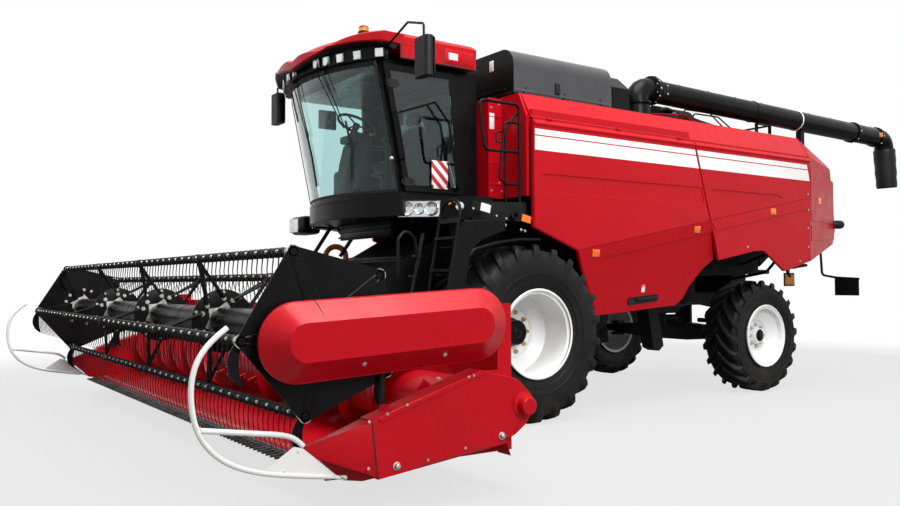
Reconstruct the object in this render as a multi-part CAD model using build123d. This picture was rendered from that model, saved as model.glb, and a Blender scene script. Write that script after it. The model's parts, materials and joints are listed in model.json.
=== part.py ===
from build123d import *
import math
import os

# Combine harvester with its grain header attached.
# Millimetres. +Z up, the machine drives towards -Y, its left side (cab door, ladder) is +X.
# Lengths along Y are written from the front axle; everything is shifted at the end so that
# the origin is the middle of the machine's box, on the ground.

# ---------------------------------------------------------------- driving dimensions
wheelbase = 3970.0
front_tyre_r = 887.0
front_tyre_width = 775.0
front_rim_r = 432.0            # outer lip of a 32 inch rim
front_wheel_x = 1348.0         # middle of the tyre
rear_tyre_r = 706.0
rear_tyre_width = 480.0
rear_rim_r = 380.0             # outer lip of a 28 inch rim
rear_wheel_x = 1300.0
kingpin_x = 1040.0
wheel_hub_r = 70.0             # stub axle that the rim turns on
running_gap = 0.05             # radial clearance of a shaft in its bore
lift_x = 450.0                 # header lift cylinders, one each side
lift_ear_x = 54.0              # middle of a bracket's ear from the cylinder's middle
lift_pin_y = -250.0
lift_pin_z = 700.0
lift_eye_y = -1330.0
lift_eye_z = 525.0
hinge_gap = 6.0                # clearance of doors, lids and panels
eye_drift = 17.0               # slack of a cylinder rod's eye round its pin
seat_gap = 0.3                 # clearance of faces that rest on another moving body

body_floor_z = 1250.0          # top of the chassis rails
body_roof_z = 2330.0           # top of the threshing body
body_half_width = 1620.0       # outer face of the side panels
panel_thickness = 35.0
body_top_z = 3320.0
body_top_x = 1450.0
lip_z = 3045.0                 # top edge of the hinged side panels
body_rear_y = wheelbase + 880.0           # where the side turns in to the rear corner
hood_rear_y = body_rear_y + 1050.0

tank_x = 1330.0
tank_front_y = 30.0
tank_split_y = 1450.0          # rear edge of the folding tank covers
tank_rear_y = 1740.0
tank_top_z = 3835.0
tank_side_z = 3360.0           # lower edge of the covers
cover_thickness = 25.0
cover_hinge_x = 1344.0         # hinge line of the covers, just outside the tank
shoulder_r = 190.0

auger_x = 1200.0
auger_y = 2000.0
auger_z = 3680.0
auger_r = 135.0
auger_end_y = 7790.0
spout_r = 150.0
auger_droop = 0.75             # degrees, the folded tube falls slightly to the rear
auger_rest_y = 5320.0
hood_back_z = 2965.0           # top of the hood's back
hood_back_x = 1350.0

cab_half_width = 990.0
cab_floor_z = 2250.0
band_z = 2050.0                # underside of the band below the cab
cab_top_z = 3550.0
cab_front_y = -1110.0          # foot of the door posts
cab_rear_y = -200.0
cab_lean = 0.205               # how far the front leans forward, per unit of height
cab_wall = 50.0
screen_bulge = 290.0
screen_thickness = 12.0
roof_half_width = 1140.0
roof_top_z = 3815.0
brow_bulge = 430.0

header_half_width = 3440.0     # inside of the side walls
sheet = 15.0                   # header sheet metal
header_back_y = -1870.0
header_top_z = 1180.0
floor_z = 205.0                # top of the cutter bar
knife_y = -2980.0
header_auger_y = -2200.0
header_auger_z = 590.0
header_auger_tube_r = 190.0
header_auger_r = 300.0
flight_pitch = 520.0
flight_thickness = 8.0
finger_half_width = 620.0      # the middle stretch of the auger with fingers and no flight
finger_rows = 4
trough_r = header_auger_r + 25
mouth = (600.0, 400.0, 1050.0)  # opening to the feeder house: half width, lowest and highest edge
feeder_half_width = 640.0
feeder_pivot_y = -150.0
feeder_pivot_z = 1800.0

reel_y = -3147.0
reel_z = 1106.0
reel_r = 514.0
reel_phase = 112.7             # degrees from +Y towards +Z of the first bat
reel_bats = 5
reel_tube_r = 105.0
reel_half_width = header_half_width - 63.0       # end shields
bat_r = 22.0
spider_spacing = 1650.0
spider_disc_r = 195.0
arm_pivot_y = -1945.0
arm_pivot_z = 1160.0
cover_r = 234.0                # round ends of the reel drive cover
arm_x0 = reel_half_width + 23.0
arm_x1 = arm_x0 + 30.0
reel_cylinder_x = arm_x0 + 13.0
reel_cylinder_y = -2760.0
reel_cylinder_z0 = 600.0
reel_cylinder_z1 = 1020.0
cover_x0 = arm_x1 + 31.0
cover_x1 = cover_x0 + 39.0
cover_x2 = cover_x1 + 150.0

hoop_front_y = -3985.0
hoop_x = header_half_width + 50.0
hoop_r = 18.0


# ---------------------------------------------------------------- helpers
def box(x0, x1, y0, y1, z0, z1):
    return Pos((x0 + x1) / 2, (y0 + y1) / 2, (z0 + z1) / 2) * Box(x1 - x0, y1 - y0, z1 - z0)


def prism(plane, points, depth):
    """A closed polygon on a plane, pushed along the plane's normal."""
    return extrude(plane * make_face(Polyline(*points, close=True)), amount=depth)


def prism_x(points_yz, x0, x1):
    return prism(Plane((x0, 0, 0), x_dir=(0, 1, 0), z_dir=(1, 0, 0)), points_yz, x1 - x0)


def prism_y(points_xz, y0, y1):
    return prism(Plane((0, y1, 0), x_dir=(1, 0, 0), z_dir=(0, -1, 0)), points_xz, y1 - y0)


def prism_z(points_xy, z0, z1):
    return prism(Plane((0, 0, z0)), points_xy, z1 - z0)


def rod(start, end, radius):
    """A round bar between two points."""
    start = Vector(*start)
    end = Vector(*end)
    along = end - start
    return extrude(Plane(start, z_dir=along) * Circle(radius), amount=along.length)


def bent_tube(points, bend, radius):
    """A round tube along straight runs joined by arcs."""
    path = FilletPolyline(*points, radius=bend) if bend else Polyline(*points)
    return sweep(Plane(points[0], z_dir=path % 0) * Circle(radius), path=path)


def section_at(y, points_xz):
    """A face standing across the machine, for lofts along it."""
    return Plane((0, y, 0), x_dir=(1, 0, 0), z_dir=(0, -1, 0)) * make_face(Polyline(*points_xz, close=True))


def mirrored(shape):
    return mirror(shape, about=Plane.YZ)


def both_sides(shape):
    return [shape, mirrored(shape)]


def polar(y, z, radius, degrees):
    """A point in a side view: degrees from +Y towards +Z."""
    a = math.radians(degrees)
    return (y + radius * math.cos(a), z + radius * math.sin(a))


def stadium(y0, z0, y1, z1, radius, x):
    """Outline with two round ends, standing in a side view at x."""
    run = math.hypot(y1 - y0, z1 - z0)
    tilt = math.degrees(math.atan2(z1 - z0, y1 - y0))
    plane = Plane((x, (y0 + y1) / 2, (z0 + z1) / 2), x_dir=(0, 1, 0), z_dir=(1, 0, 0))
    return plane * (Rot(0, 0, tilt) * SlotCenterToCenter(run, 2 * radius))


def front_arc_plan(half, corner_y, bulge, back_y):
    """Plan of a piece with a bowed front, as a face in XY."""
    front = ThreePointArc((-half, corner_y), (0, corner_y - bulge), (half, corner_y))
    rest = Polyline((half, corner_y), (half, back_y), (-half, back_y), (-half, corner_y))
    return make_face([front, rest])


# ---------------------------------------------------------------- wheels
def turned(points, x):
    """A ring turned about the X axis from a closed section of (x, radius) points."""
    area = sum(a[0] * b[1] - b[0] * a[1] for a, b in zip(points, points[1:] + points[:1]))
    if area > 0:
        points = points[::-1]
    section = make_face(Polyline(*[(a, 0, r) for a, r in points], close=True))
    return Pos(x, 0, 0) * revolve(section, axis=Axis.X)


def tyre(radius, width, rim_r, x):
    """Hollow tyre: rounded shoulders, bulging side walls, beads on the rim."""
    h = width / 2
    bead = rim_r - 24
    wall = 38
    outer = [(-h * 0.84, bead), (-h * 0.9, rim_r + 8), (-h, (radius + rim_r) / 2), (-h * 0.93, radius * 0.95),
             (-h * 0.8, radius)]
    inner = [(-h * 0.84 + 60, bead), (-h + wall + 20, (radius + rim_r) / 2), (-h * 0.78, radius - wall * 1.6)]
    pts = outer + [(-a, r) for a, r in reversed(outer)]
    pts += [(-a, r) for a, r in inner] + [(a, r) for a, r in reversed(inner)]
    return turned(pts, x)


def rim(rim_r, tyre_width, x, disc_x, hub_out, bolt_circle, bolts):
    """Dished wheel: barrel with lips, a disc, a hub that turns on the stub axle."""
    half = tyre_width / 2 * 0.84
    seat = rim_r - 24.5
    barrel = [(-half - 32, rim_r), (-half - 20, rim_r), (-half - 16, seat), (half + 16, seat), (half + 20,
                                                                                                rim_r),
              (half + 32, rim_r), (half + 28, seat - 12), (-half - 28, seat - 12)]
    d = disc_x - x
    dish = [(d + 90, seat - 6), (d + 104, seat - 6), (d + 30, bolt_circle + 60), (d + 7, bolt_circle + 40),
            (d + 7, wheel_hub_r + running_gap), (d - 7, wheel_hub_r + running_gap), (d - 7, bolt_circle + 45),
            (d + 16, bolt_circle + 64)]
    hub = [(d - 60, wheel_hub_r + running_gap), (d - 60, wheel_hub_r + 30), (d - 7.5, wheel_hub_r + 46),
           (d + 8, wheel_hub_r + 46), (hub_out - x, wheel_hub_r + 20), (hub_out - x, 0), (hub_out - x - 14,
                                                                                          0),
           (hub_out - x - 14, wheel_hub_r + running_gap)]
    solid = turned(barrel, x) + turned(dish, x) + turned(hub, x)
    for i in range(bolts):
        y, z = polar(0, 0, bolt_circle, i * 360 / bolts)
        solid += Pos(x + d + 18, y, z) * Rot(0, 90, 0) * Cylinder(13, 26)
    return solid


parts = {}
front_axle = Pos(0, 0, front_tyre_r)
rear_axle = Pos(0, wheelbase, rear_tyre_r)
front_disc_x = 1275.0
rear_disc_x = 1365.0
front_tyre = front_axle * tyre(front_tyre_r, front_tyre_width, front_rim_r, front_wheel_x)
rear_tyre = rear_axle * tyre(rear_tyre_r, rear_tyre_width, rear_rim_r, rear_wheel_x)
front_rim = front_axle * rim(front_rim_r, front_tyre_width, front_wheel_x, front_disc_x, 1400, 212, 10)
rear_rim = rear_axle * rim(rear_rim_r, rear_tyre_width, rear_wheel_x, rear_disc_x, 1440, 137.5, 8)
for side, flip in (("left", lambda s: s), ("right", mirrored)):
    parts["front_tyre_" + side] = flip(front_tyre)
    parts["front_rim_" + side] = flip(front_rim)
    parts["rear_tyre_" + side] = flip(rear_tyre)
    parts["rear_rim_" + side] = flip(rear_rim)


# ---------------------------------------------------------------- axles and steering
def make_front_axle():
    z = front_tyre_r
    beam = box(-760, 760, -130, 130, z - 130, z + 130)
    gearbox = box(-300, 300, -220, 240, z - 200, z + 180)
    shape = beam + gearbox
    for s in (1, -1):
        shape += rod((s * 755, 0, z), (s * 1130, 0, z), 190)
        shape += rod((s * 1125, 0, z), (s * (front_disc_x - 65), 0, z), 120)
        shape += rod((s * (front_disc_x - 70), 0, z), (s * 1380, 0, z), wheel_hub_r)
        for dx in (-lift_ear_x, lift_ear_x):
            x = s * lift_x + dx
            shape += box(x - 8, x + 8, lift_pin_y - 45, -100, z - 235, z - 100)
        shape -= Pos(s * lift_x, lift_pin_y, lift_pin_z) * Rot(0, 90, 0) * Cylinder(25 + running_gap, 160)
    return shape


def make_rear_axle():
    z = rear_tyre_r
    y = wheelbase
    end = kingpin_x - 82
    outline = [(-end, z - 60), (-350, z - 110), (350, z - 110), (end, z - 60),
               (end, z + 60), (350, z + 120), (-350, z + 120), (-end, z + 60)]
    beam = prism_y(outline, y - 90, y + 90)
    for s in (1, -1):
        for dz in (-105, 65):
            fork = box(-60, 75, -60, 60, 0, 40)
            shape = Pos(s * kingpin_x, y, z + dz) * (fork if s < 0 else mirrored(fork))
            beam += shape
        beam += box(s * (kingpin_x - 76) - 14, s * (kingpin_x - 76) + 14, y - 60, y + 60, z - 105, z + 105)
        for dz in (-105, 65):
            beam -= Pos(s * kingpin_x, y, z + dz + 20) * Cylinder(25 + running_gap, 60)
    pivot = rod((0, y - 250, z + 170), (0, y + 250, z + 170), 60)
    return beam + pivot


def make_knuckle(s):
    """Kingpin, stub axle and steering arm of one rear wheel."""
    z = rear_tyre_r
    y = wheelbase
    x = s * kingpin_x
    shape = Pos(x, y, z) * Cylinder(25, 220)
    shape += Pos(x, y, z) * Cylinder(52, 118)
    shape += rod((x, y, z), (s * (rear_disc_x - 65), y, z), 52)
    shape += rod((s * (rear_disc_x - 70), y, z), (s * 1420, y, z), wheel_hub_r)
    shape += box(x - 18, x + 18, y + 30, y + 225, z - 45, z - 15)
    pin = Pos(x, y + 200, z - 45) * Cylinder(14, 100)
    return shape + pin


def make_tie_rod():
    z = rear_tyre_r - 78
    y = wheelbase + 200
    half = kingpin_x
    shape = rod((-half + 30, y, z), (half - 30, y, z), 18)
    for s in (1, -1):
        shape += Pos(s * half, y, z) * Cylinder(34, 30)
        shape -= Pos(s * half, y, z) * Cylinder(14 + (running_gap if s > 0 else 6), 60)
    return shape


parts["front_axle"] = make_front_axle()
parts["rear_axle"] = make_rear_axle()
parts["knuckle_left"] = make_knuckle(1)
parts["knuckle_right"] = make_knuckle(-1)
parts["tie_rod"] = make_tie_rod()


# ---------------------------------------------------------------- chassis and threshing body
def make_chassis():
    shape = box(-520, 520, -120, 60, 1080, body_floor_z)
    for s in (1, -1):
        shape += box(s * 480 - 60, s * 480 + 60, -120, wheelbase + 530, 1080, body_floor_z)
        shape += box(s * 480 - 60, s * 480 + 60, -110, 110, front_tyre_r + 130, 1085)
    shape += box(-480, 480, wheelbase + 380, wheelbase + 530, 1080, body_floor_z)
    for y in (wheelbase - 300, wheelbase + 250):
        plate = box(-130, 130, y, y + 50, 790, 1100)
        plate -= Pos(0, y + 25, rear_tyre_r + 170) * Rot(90, 0, 0) * Cylinder(60.05, 100)
        shape += plate
        shape += box(-480, 480, y, y + 50, 1085, 1235)
    return shape


def make_thresher_body():
    profile = [(-100, 1400), (-100, body_roof_z), (4200, body_roof_z), (4900, 2000), (4700, 1560), (3300,
                                                                                                    1560),
               (2900, body_floor_z), (-60, body_floor_z)]
    shape = prism_x(profile, -880, 880)
    elevator = prism_x([(2250, 1250), (2420, 1250), (2560, 620), (2480, 560), (2380, 600)], 900, 1080)
    shape += elevator
    shape += box(870, 905, 2250, 2420, 1250, 1500)
    shape += prism_x([(900, 1250), (2250, 1250), (2300, 640), (1250, 560), (1000, 800)], -410, 410)
    for s in (1, -1):
        shape += prism_x([(-100, 1960), (-880, 2000), (-880, band_z), (-100, band_z)], s * 790 - 50,
                         s * 790 + 50)
        x = s * (feeder_half_width + 40)
        ear = prism_x([(-100, 1900), (-100, 1700), (-210, 1740), (-210, 1860)], x - 18, x + 18)
        shape += ear - rod((x - 20, feeder_pivot_y, feeder_pivot_z), (x + 20, feeder_pivot_y, feeder_pivot_z),
                           45 + running_gap)
    return shape


parts["chassis_frame"] = make_chassis()
parts["thresher_body"] = make_thresher_body()


# ---------------------------------------------------------------- grain tank, covers, unloading auger
def cover_hinge(y0, y1, radius):
    return rod((cover_hinge_x, y0, tank_side_z), (cover_hinge_x, y1, tank_side_z), radius)


def cover_hinge_ears():
    """The tank's halves of the cover hinges on one side, with their pins."""
    ears = None
    for y in cover_hinge_places:
        ear = cover_hinge(y - 35, y + 35, 4)
        for y0 in (y - 35, y + 17):
            ear += cover_hinge(y0, y0 + 18, 10)
            ear += box(tank_x - 10, cover_hinge_x, y0, y0 + 18, tank_side_z - 16, tank_side_z - 5)
        ears = ear if ears is None else ears + ear
    return ears


def make_grain_tank():
    """Open hopper with sloping floor, and its fixed rear part."""
    top = tank_side_z - seat_gap
    outer = prism_y([(-tank_x, top), (-tank_x, 2900), (-700, body_roof_z), (700, body_roof_z), (tank_x, 2900),
                     (tank_x, top)], tank_front_y, tank_rear_y)
    w = cover_thickness
    inner = prism_y([(-tank_x + w, 3400), (-tank_x + w, 2912), (-690, body_roof_z + w), (690,
                                                                                         body_roof_z + w),
                     (tank_x - w, 2912), (tank_x - w, 3400)], tank_front_y + w, tank_rear_y - w)
    shape = outer - inner
    rear = prism_y([(-tank_x, tank_side_z - 6), (-tank_x, 3600), (-1150, 3760), (1150, 3760), (tank_x, 3600),
                    (tank_x, tank_side_z - 6)], tank_split_y + 15, tank_rear_y)
    hollow = prism_y([(-tank_x + w, 3300), (-tank_x + w, 3590), (-1140, 3760 - w), (1140, 3760 - w),
                      (tank_x - w, 3590), (tank_x - w, 3300)], tank_split_y, tank_rear_y - w)
    ears = cover_hinge_ears()
    return shape + (rear - hollow) + ears + mirrored(ears)


def make_tank_cover():
    """One folding cover: side wall, round shoulder and half of the roof, with a front wall."""
    def outline(offset):
        x = tank_x - offset
        top = tank_top_z - offset
        r = shoulder_r - offset
        a = Line((4, top, 0), (x - r, top, 0))
        b = Line((x, top - r, 0), (x, tank_side_z, 0))
        arc = RadiusArc((x - r, top, 0), (x, top - r, 0), r)
        return a, arc, b
    a, arc, b = outline(0)
    solid = make_face([a, arc, b, Polyline((tank_x, tank_side_z, 0), (4, tank_side_z, 0), (4, tank_top_z,
                                                                                           0))])
    a, arc, b = outline(cover_thickness)
    x = tank_x - cover_thickness
    cut = make_face([a, arc, b, Polyline((x, tank_side_z, 0), (4, tank_side_z, 0),
                                         (4, tank_top_z - cover_thickness, 0))])
    plane = Plane((0, tank_split_y, 0), x_dir=(1, 0, 0), z_dir=(0, -1, 0))
    length = tank_split_y - tank_front_y
    shell = extrude(plane * solid, amount=length)
    hollow = extrude(Plane((0, tank_split_y + 1, 0), x_dir=(1, 0, 0), z_dir=(0, -1, 0)) * cut,
                     amount=length - cover_thickness + 1)
    hollow += box(-10, 6, tank_front_y - 5, tank_split_y + 5, tank_side_z - 10, tank_top_z - cover_thickness)
    shell -= hollow
    for y in cover_hinge_places:
        shell += cover_hinge(y - 15, y + 15, 10)
        shell += box(tank_x - 5, cover_hinge_x, y - 15, y + 15, tank_side_z + 1, tank_side_z + 9)
        shell -= cover_hinge(y - 16, y + 16, 4 + running_gap)
    return shell


def hood_roof_z(y):
    """Height of the sloping hood roof over a place along the machine."""
    return body_top_z - (y - body_rear_y) * (body_top_z - hood_back_z) / (hood_rear_y - body_rear_y)


def make_auger_supports():
    """Turret that the unloading auger swings on, and the post that it rests on."""
    foot, top = 2760, auger_z - 173 - seat_gap
    turret = Pos(auger_x, auger_y, (foot + top) / 2) * Cylinder(120, top - foot)
    turret += Pos(auger_x, auger_y, top - 12) * Cylinder(175, 24)
    turret += box(auger_x - 120, auger_x + 120, tank_rear_y, auger_y, 3225, 3290)
    y0, y1 = auger_rest_y - 40, auger_rest_y + 40
    fall = math.tan(math.radians(auger_droop))
    rest_z = auger_z - (y1 - auger_y) * fall - auger_r / math.cos(math.radians(auger_droop)) - seat_gap
    post = prism_x([(y0, hood_roof_z(y0)), (y1, hood_roof_z(y1)), (y1, rest_z), (y0, rest_z)],
                   auger_x - 40, auger_x + 40)
    return [turret, post]


def make_unloading_auger():
    """Elbow, long tube and spout, folded back along the machine's left side."""
    fall = math.tan(math.radians(auger_droop))
    end_z = auger_z - (auger_end_y - spout_r - auger_y) * fall
    elbow = Pos(auger_x, auger_y, auger_z - 10) * Cylinder(165, 326)
    tube = rod((auger_x, auger_y, auger_z), (auger_x, auger_end_y - spout_r, end_z), auger_r)
    spout = Pos(auger_x, auger_end_y - spout_r, end_z - 215) * Cylinder(spout_r, 700)
    return elbow + tube + spout


cover_hinge_places = (180, 740, 1300)
parts["grain_tank"] = make_grain_tank()
parts["tank_cover_left"] = make_tank_cover()
parts["tank_cover_right"] = mirrored(make_tank_cover())
parts["auger_supports"] = make_auger_supports()
parts["unloading_auger"] = make_unloading_auger()


# ---------------------------------------------------------------- body shell
def make_upper_panels():
    """Fixed red strips above the hinged panels, with the front walls beside the cab."""
    w = body_half_width
    strip = prism_y([(w - 8, lip_z + hinge_gap), (body_top_x, body_top_z), (tank_x + hinge_gap, body_top_z),
                     (tank_x + hinge_gap, body_top_z - 25), (body_top_x - 13, body_top_z - 25), (w - 50,
                                                                                                 lip_z + 30),
                     (w - 65, lip_z + 30), (w - 65, lip_z - 85), (w - 47, lip_z - 85), (w - 47,
                                                                                        lip_z + hinge_gap)],
                    22, body_rear_y)
    front = prism_y([(880, 2260), (w - 50, 2260), (w - 50, lip_z + 24), (body_top_x - 4, body_top_z),
                     (880, body_top_z)], -10, 23)
    cabinet = box(890, 1180, -190, -5, 2260, 3300)
    return strip + front + cabinet


side_outline = [(35, lip_z), (35, 1943), (629, 1720), (720, 1515), (991, 1025), (2312, 1112), (2430, 1190),
                (2523, 1338), (2760, 1557), (2922, 1652), (2860, 1880), (2723, 2259), (2492, lip_z)]
crease_front = (629, 1720)
crease_slope = (2084 - 1720) / (2594 - 629)


def make_side_panel():
    """Hinged side panel, folded inwards below its rising crease."""
    x1 = body_half_width
    upper = prism_x(side_outline, x1 - panel_thickness, x1)
    y, z = crease_front
    far = 3200
    below = prism_x([(y - 800, z - 800 * crease_slope), (far, z + (far - y) * crease_slope), (far, 900),
                     (y - 800, 900)],
                    x1 - 400, x1 + 100)
    lower = upper & below
    upper = upper - below
    axis = Axis((x1, y, z), (0, 1, crease_slope))
    lower = lower.rotate(axis, 9)
    return upper + lower


def make_rear_hood():
    """Rear side panels with the wheel arch, turned-in corners, roof and back."""
    z_low = [(2934, 1652), (3612, 1770), (3825, 1784), (4257, 1527), (body_rear_y, 1665)]
    side = prism_x([(2504, lip_z), (2735, 2259), (2872, 1880)] + z_low + [(body_rear_y, lip_z)],
                   body_half_width - panel_thickness, body_half_width)
    w, t, y0, y1 = body_half_width, panel_thickness, body_rear_y, hood_rear_y
    back = hood_back_x
    corner = loft([section_at(y0, [(w - t, 1665), (w, 1665), (w, lip_z + 7), (w - t, lip_z + 7)]),
                   section_at(y1, [(back - t, 1950), (back, 1950), (back, hood_back_z - 15),
                                   (back - t, hood_back_z - 15)])])
    roof = loft([section_at(y0, [(-w, lip_z + 6), (-body_top_x, body_top_z), (body_top_x, body_top_z),
                                  (w, lip_z + 6)]),
                 section_at(y1, [(-back, hood_back_z - 20), (-back + 20, hood_back_z),
                                   (back - 20, hood_back_z), (back, hood_back_z - 20)])])
    roof -= loft([section_at(y0 - 1, [(-w + 40, lip_z - 10), (-body_top_x + 20, body_top_z - 25),
                                      (body_top_x - 20, body_top_z - 25), (w - 40, lip_z - 10)]),
                  section_at(y1 + 1, [(-back + 40, hood_back_z - 60), (-back + 45, hood_back_z - 25),
                                      (back - 45, hood_back_z - 25), (back - 40, hood_back_z - 60)])])
    behind = [(y1 - 206, 3060), (y1, 2130), (y1 - 210, 1752), (y1 + 200, 1752), (y1 + 200, 3060)]
    cut = prism_x(behind, -w, w)
    inside = loft([section_at(y0, [(-w + 5, 1700), (w - 5, 1700), (w - 5, lip_z), (-w + 5, lip_z)]),
                   section_at(y1, [(-back + 5, 1955), (back - 5, 1955), (back - 5, hood_back_z - 5),
                                   (-back + 5, hood_back_z - 5)])])
    back_plate = inside & prism_x([(y1 - 236, 3060), (y1 - 30, 2130), (y1 - 180, 1860), (y1 - 140, 1860),
                                   (y1, 2130),
                                   (y1 - 206, 3060)], -w, w)
    half = side + corner
    shell = half + mirrored(half) + roof - cut
    return shell + (back_plate - cut)


def make_lamp_arm():
    """Bent pipe below the left rear corner with the board that carries a rear lamp."""
    x, y = body_half_width, hood_rear_y - 350
    pipe = bent_tube([(x - 136, y - 250, 1835), (x - 136, y - 220, 1480), (x - 60, y, 1445), (x + 260, y, 1425)],
                     60, 16)
    return pipe + box(x - 72, x + 265, y - 24, y - 8, 1200, 1432)


def panel_hinge(y0, y1, radius):
    """A stretch of a side panel's hinge line, just outside its upper edge."""
    at = (body_half_width + 2, lip_z + 2)
    return rod((at[0], y0, at[1]), (at[0], y1, at[1]), radius)


def panel_hinge_sleeves(panel):
    for y in panel_hinge_places:
        for y0 in (y - 40, y + 20):
            panel -= panel_hinge(y0, y0 + 20, 14)
        panel += panel_hinge(y - 20, y + 20, 9)
        panel -= panel_hinge(y - 21, y + 21, 4 + running_gap)
    return panel


def panel_hinge_ears(strip):
    x = body_half_width
    for y in panel_hinge_places:
        for y0 in (y - 35, y + 21):
            strip += panel_hinge(y0, y0 + 14, 9) + box(x - 20, x + 2, y0, y0 + 14, lip_z + hinge_gap,
                                                       lip_z + 11)
        strip += panel_hinge(y - 35, y + 35, 4)
    return strip


panel_hinge_places = (250, 1250, 2250)
upper_panels = panel_hinge_ears(make_upper_panels())
side_panel = panel_hinge_sleeves(make_side_panel())
parts["upper_body_panels"] = both_sides(upper_panels)
parts["side_panel_left"] = side_panel
parts["side_panel_right"] = mirrored(side_panel)
parts["rear_hood"] = make_rear_hood()
parts["rear_lamp_arm"] = make_lamp_arm() - parts["rear_hood"]


# ---------------------------------------------------------------- engine bay
def make_engine_deck():
    """Tray that closes the body behind the tank, with the radiator box and the rear deck."""
    w = tank_x + hinge_gap
    y0, y1 = auger_y + 200, body_rear_y - 60
    shape = box(-w, w, y0, y1, 2700, 2725)
    for s in (1, -1):
        x = s * (w - 12)
        shape += box(x - 12, x + 12, y0, y1, 2700, body_top_z)
    shape += box(-w, w, y1 - 25, y1, 2700, body_top_z - 30)
    shape += box(-w, -560, y0 + 250, y0 + 1700, 2720, 3430)
    shape += box(-w, w, 3950, y1, body_top_z - 60, body_top_z - 30)
    return shape


def make_engine_block():
    return box(-420, 420, 2300, 3850, 2725, 3400)


parts["engine_deck"] = make_engine_deck()
parts["engine_block"] = make_engine_block()


# ---------------------------------------------------------------- cab
def leaning(face, height):
    """Push a plan face upwards along the forward lean of the cab front."""
    return extrude(face, amount=height * math.hypot(1, cab_lean), dir=(0, -cab_lean, 1))


def make_cab_shell():
    height = cab_top_z - cab_floor_z
    lean = height * cab_lean
    side = [(cab_front_y, cab_floor_z), (cab_front_y - lean, cab_top_z), (cab_rear_y, cab_top_z),
            (cab_rear_y, cab_floor_z)]
    shape = prism_x(side, -cab_half_width, cab_half_width)
    w = cab_wall
    inside = prism_x([(cab_front_y - 50 - lean * 0.04, cab_floor_z + w), (cab_front_y - 50 - lean,
                                                                          cab_top_z - w),
                      (cab_rear_y - w, cab_top_z - w), (cab_rear_y - w, cab_floor_z + w)],
                     -cab_half_width + w, cab_half_width - w)
    shape -= inside
    post = 70
    y0 = cab_front_y + post
    z0 = cab_floor_z + 60
    z1 = cab_top_z - 40
    opening = [(y0 - (z0 - cab_floor_z) * cab_lean, z0), (y0 - (z1 - cab_floor_z) * cab_lean, z1), (-480, z1),
               (-420, z0)]
    shape -= prism_x(opening, -cab_half_width - 5, cab_half_width + 5)
    shape -= box(-cab_half_width + 120, cab_half_width - 120, cab_rear_y - 100, cab_rear_y + 5, 2900, z1 - 40)
    sill = front_arc_plan(cab_half_width, cab_front_y - 20, screen_bulge, cab_front_y + 5)
    shape += extrude(Pos(0, 0, cab_floor_z) * sill, amount=40)
    brow = front_arc_plan(cab_half_width + 80, cab_front_y - lean - 30, brow_bulge - 90,
                          cab_front_y - lean + 60)
    shape += extrude(Pos(0, 0, cab_top_z) * brow, amount=150)
    shape += box(-cab_half_width, cab_half_width, cab_front_y - lean + 50, cab_rear_y, cab_top_z - 10,
                 cab_top_z + 20)
    return shape


def make_cab_glass():
    """Bowed windscreen, right side pane and rear pane."""
    height = cab_top_z - cab_floor_z - 42
    half = cab_half_width - 15
    base_y = cab_front_y - 22 - 40 * cab_lean
    outer = front_arc_plan(half, base_y, screen_bulge - 15, base_y + 2)
    inner = front_arc_plan(half - 3, base_y + screen_thickness, screen_bulge - 15, base_y + 80)
    screen = leaning(Pos(0, 0, cab_floor_z + 40) * (outer - inner), height)
    z0 = cab_floor_z + 61
    z1 = cab_top_z - 41
    y0 = cab_front_y + 71
    pane = [(y0 - (z0 - cab_floor_z) * cab_lean, z0), (y0 - (z1 - cab_floor_z) * cab_lean, z1), (-482, z1),
            (-422, z0)]
    right = prism_x(pane, -cab_half_width + 15, -cab_half_width + 22)
    rear = box(-cab_half_width + 120, cab_half_width - 120, cab_rear_y - 30, cab_rear_y - 23, 2900, z1 - 39)
    return [screen, right, rear]


door_x = cab_half_width + hinge_gap
door_thickness = 34.0
hinge_pin_r = 6.0
hinge_sleeve_r = 12.0
hinge_heights = (2420.0, 3320.0)


def door_hinge_line(z):
    """A point of the door's leaning hinge line, just outside the door's front edge."""
    return (door_x + door_thickness + 2, cab_front_y + 18 - (z - cab_floor_z) * cab_lean, z)


def door_hinge(z, low, high, radius):
    return rod(door_hinge_line(z + low), door_hinge_line(z + high), radius)


def make_door_hinge_lugs():
    """Two ears and a pin at each height, on the front post."""
    shape = None
    for z in hinge_heights:
        lug = door_hinge(z, -52, 52, hinge_pin_r)
        for low in (-52, 33):
            x, y, at_z = door_hinge_line(z + low + 9.5)
            lug += door_hinge(z, low, low + 19, hinge_sleeve_r)
            lug += box(cab_half_width, x, y - hinge_sleeve_r + 1, y - 3, z + low + 2, z + low + 17)
        shape = lug if shape is None else shape + lug
    return shape


def door_outline(inset):
    z0 = cab_floor_z + 45 + inset
    z1 = cab_top_z - 25 - inset
    y0 = cab_front_y + 20 + inset
    return [(y0 - (z0 - cab_floor_z) * cab_lean, z0), (y0 - (z1 - cab_floor_z) * cab_lean, z1),
            (-465 - inset - 40, z1), (-405 - inset, z0)]


def make_cab_door():
    frame = prism_x(door_outline(0), door_x, door_x + door_thickness)
    frame -= prism_x(door_outline(62), door_x - 5, door_x + door_thickness + 5)
    for z in hinge_heights:
        for low in (-62, 26):
            frame -= door_hinge(z, low, low + 36, hinge_sleeve_r + hinge_gap)
        frame += door_hinge(z, -26, 26, hinge_sleeve_r)
        frame -= door_hinge(z, -30, 30, hinge_pin_r + running_gap)
    rail_x = door_x + 95
    points = [(door_x + 21, -1138, 2600), (rail_x, -1150, 2600), (rail_x, -1235, 3040), (rail_x, -790, 3195),
              (rail_x, -620, 3000), (rail_x, -505, 2340), (door_x + 21, -500, 2326)]
    rail = bent_tube(points, 34, 13)
    return frame + rail


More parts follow.
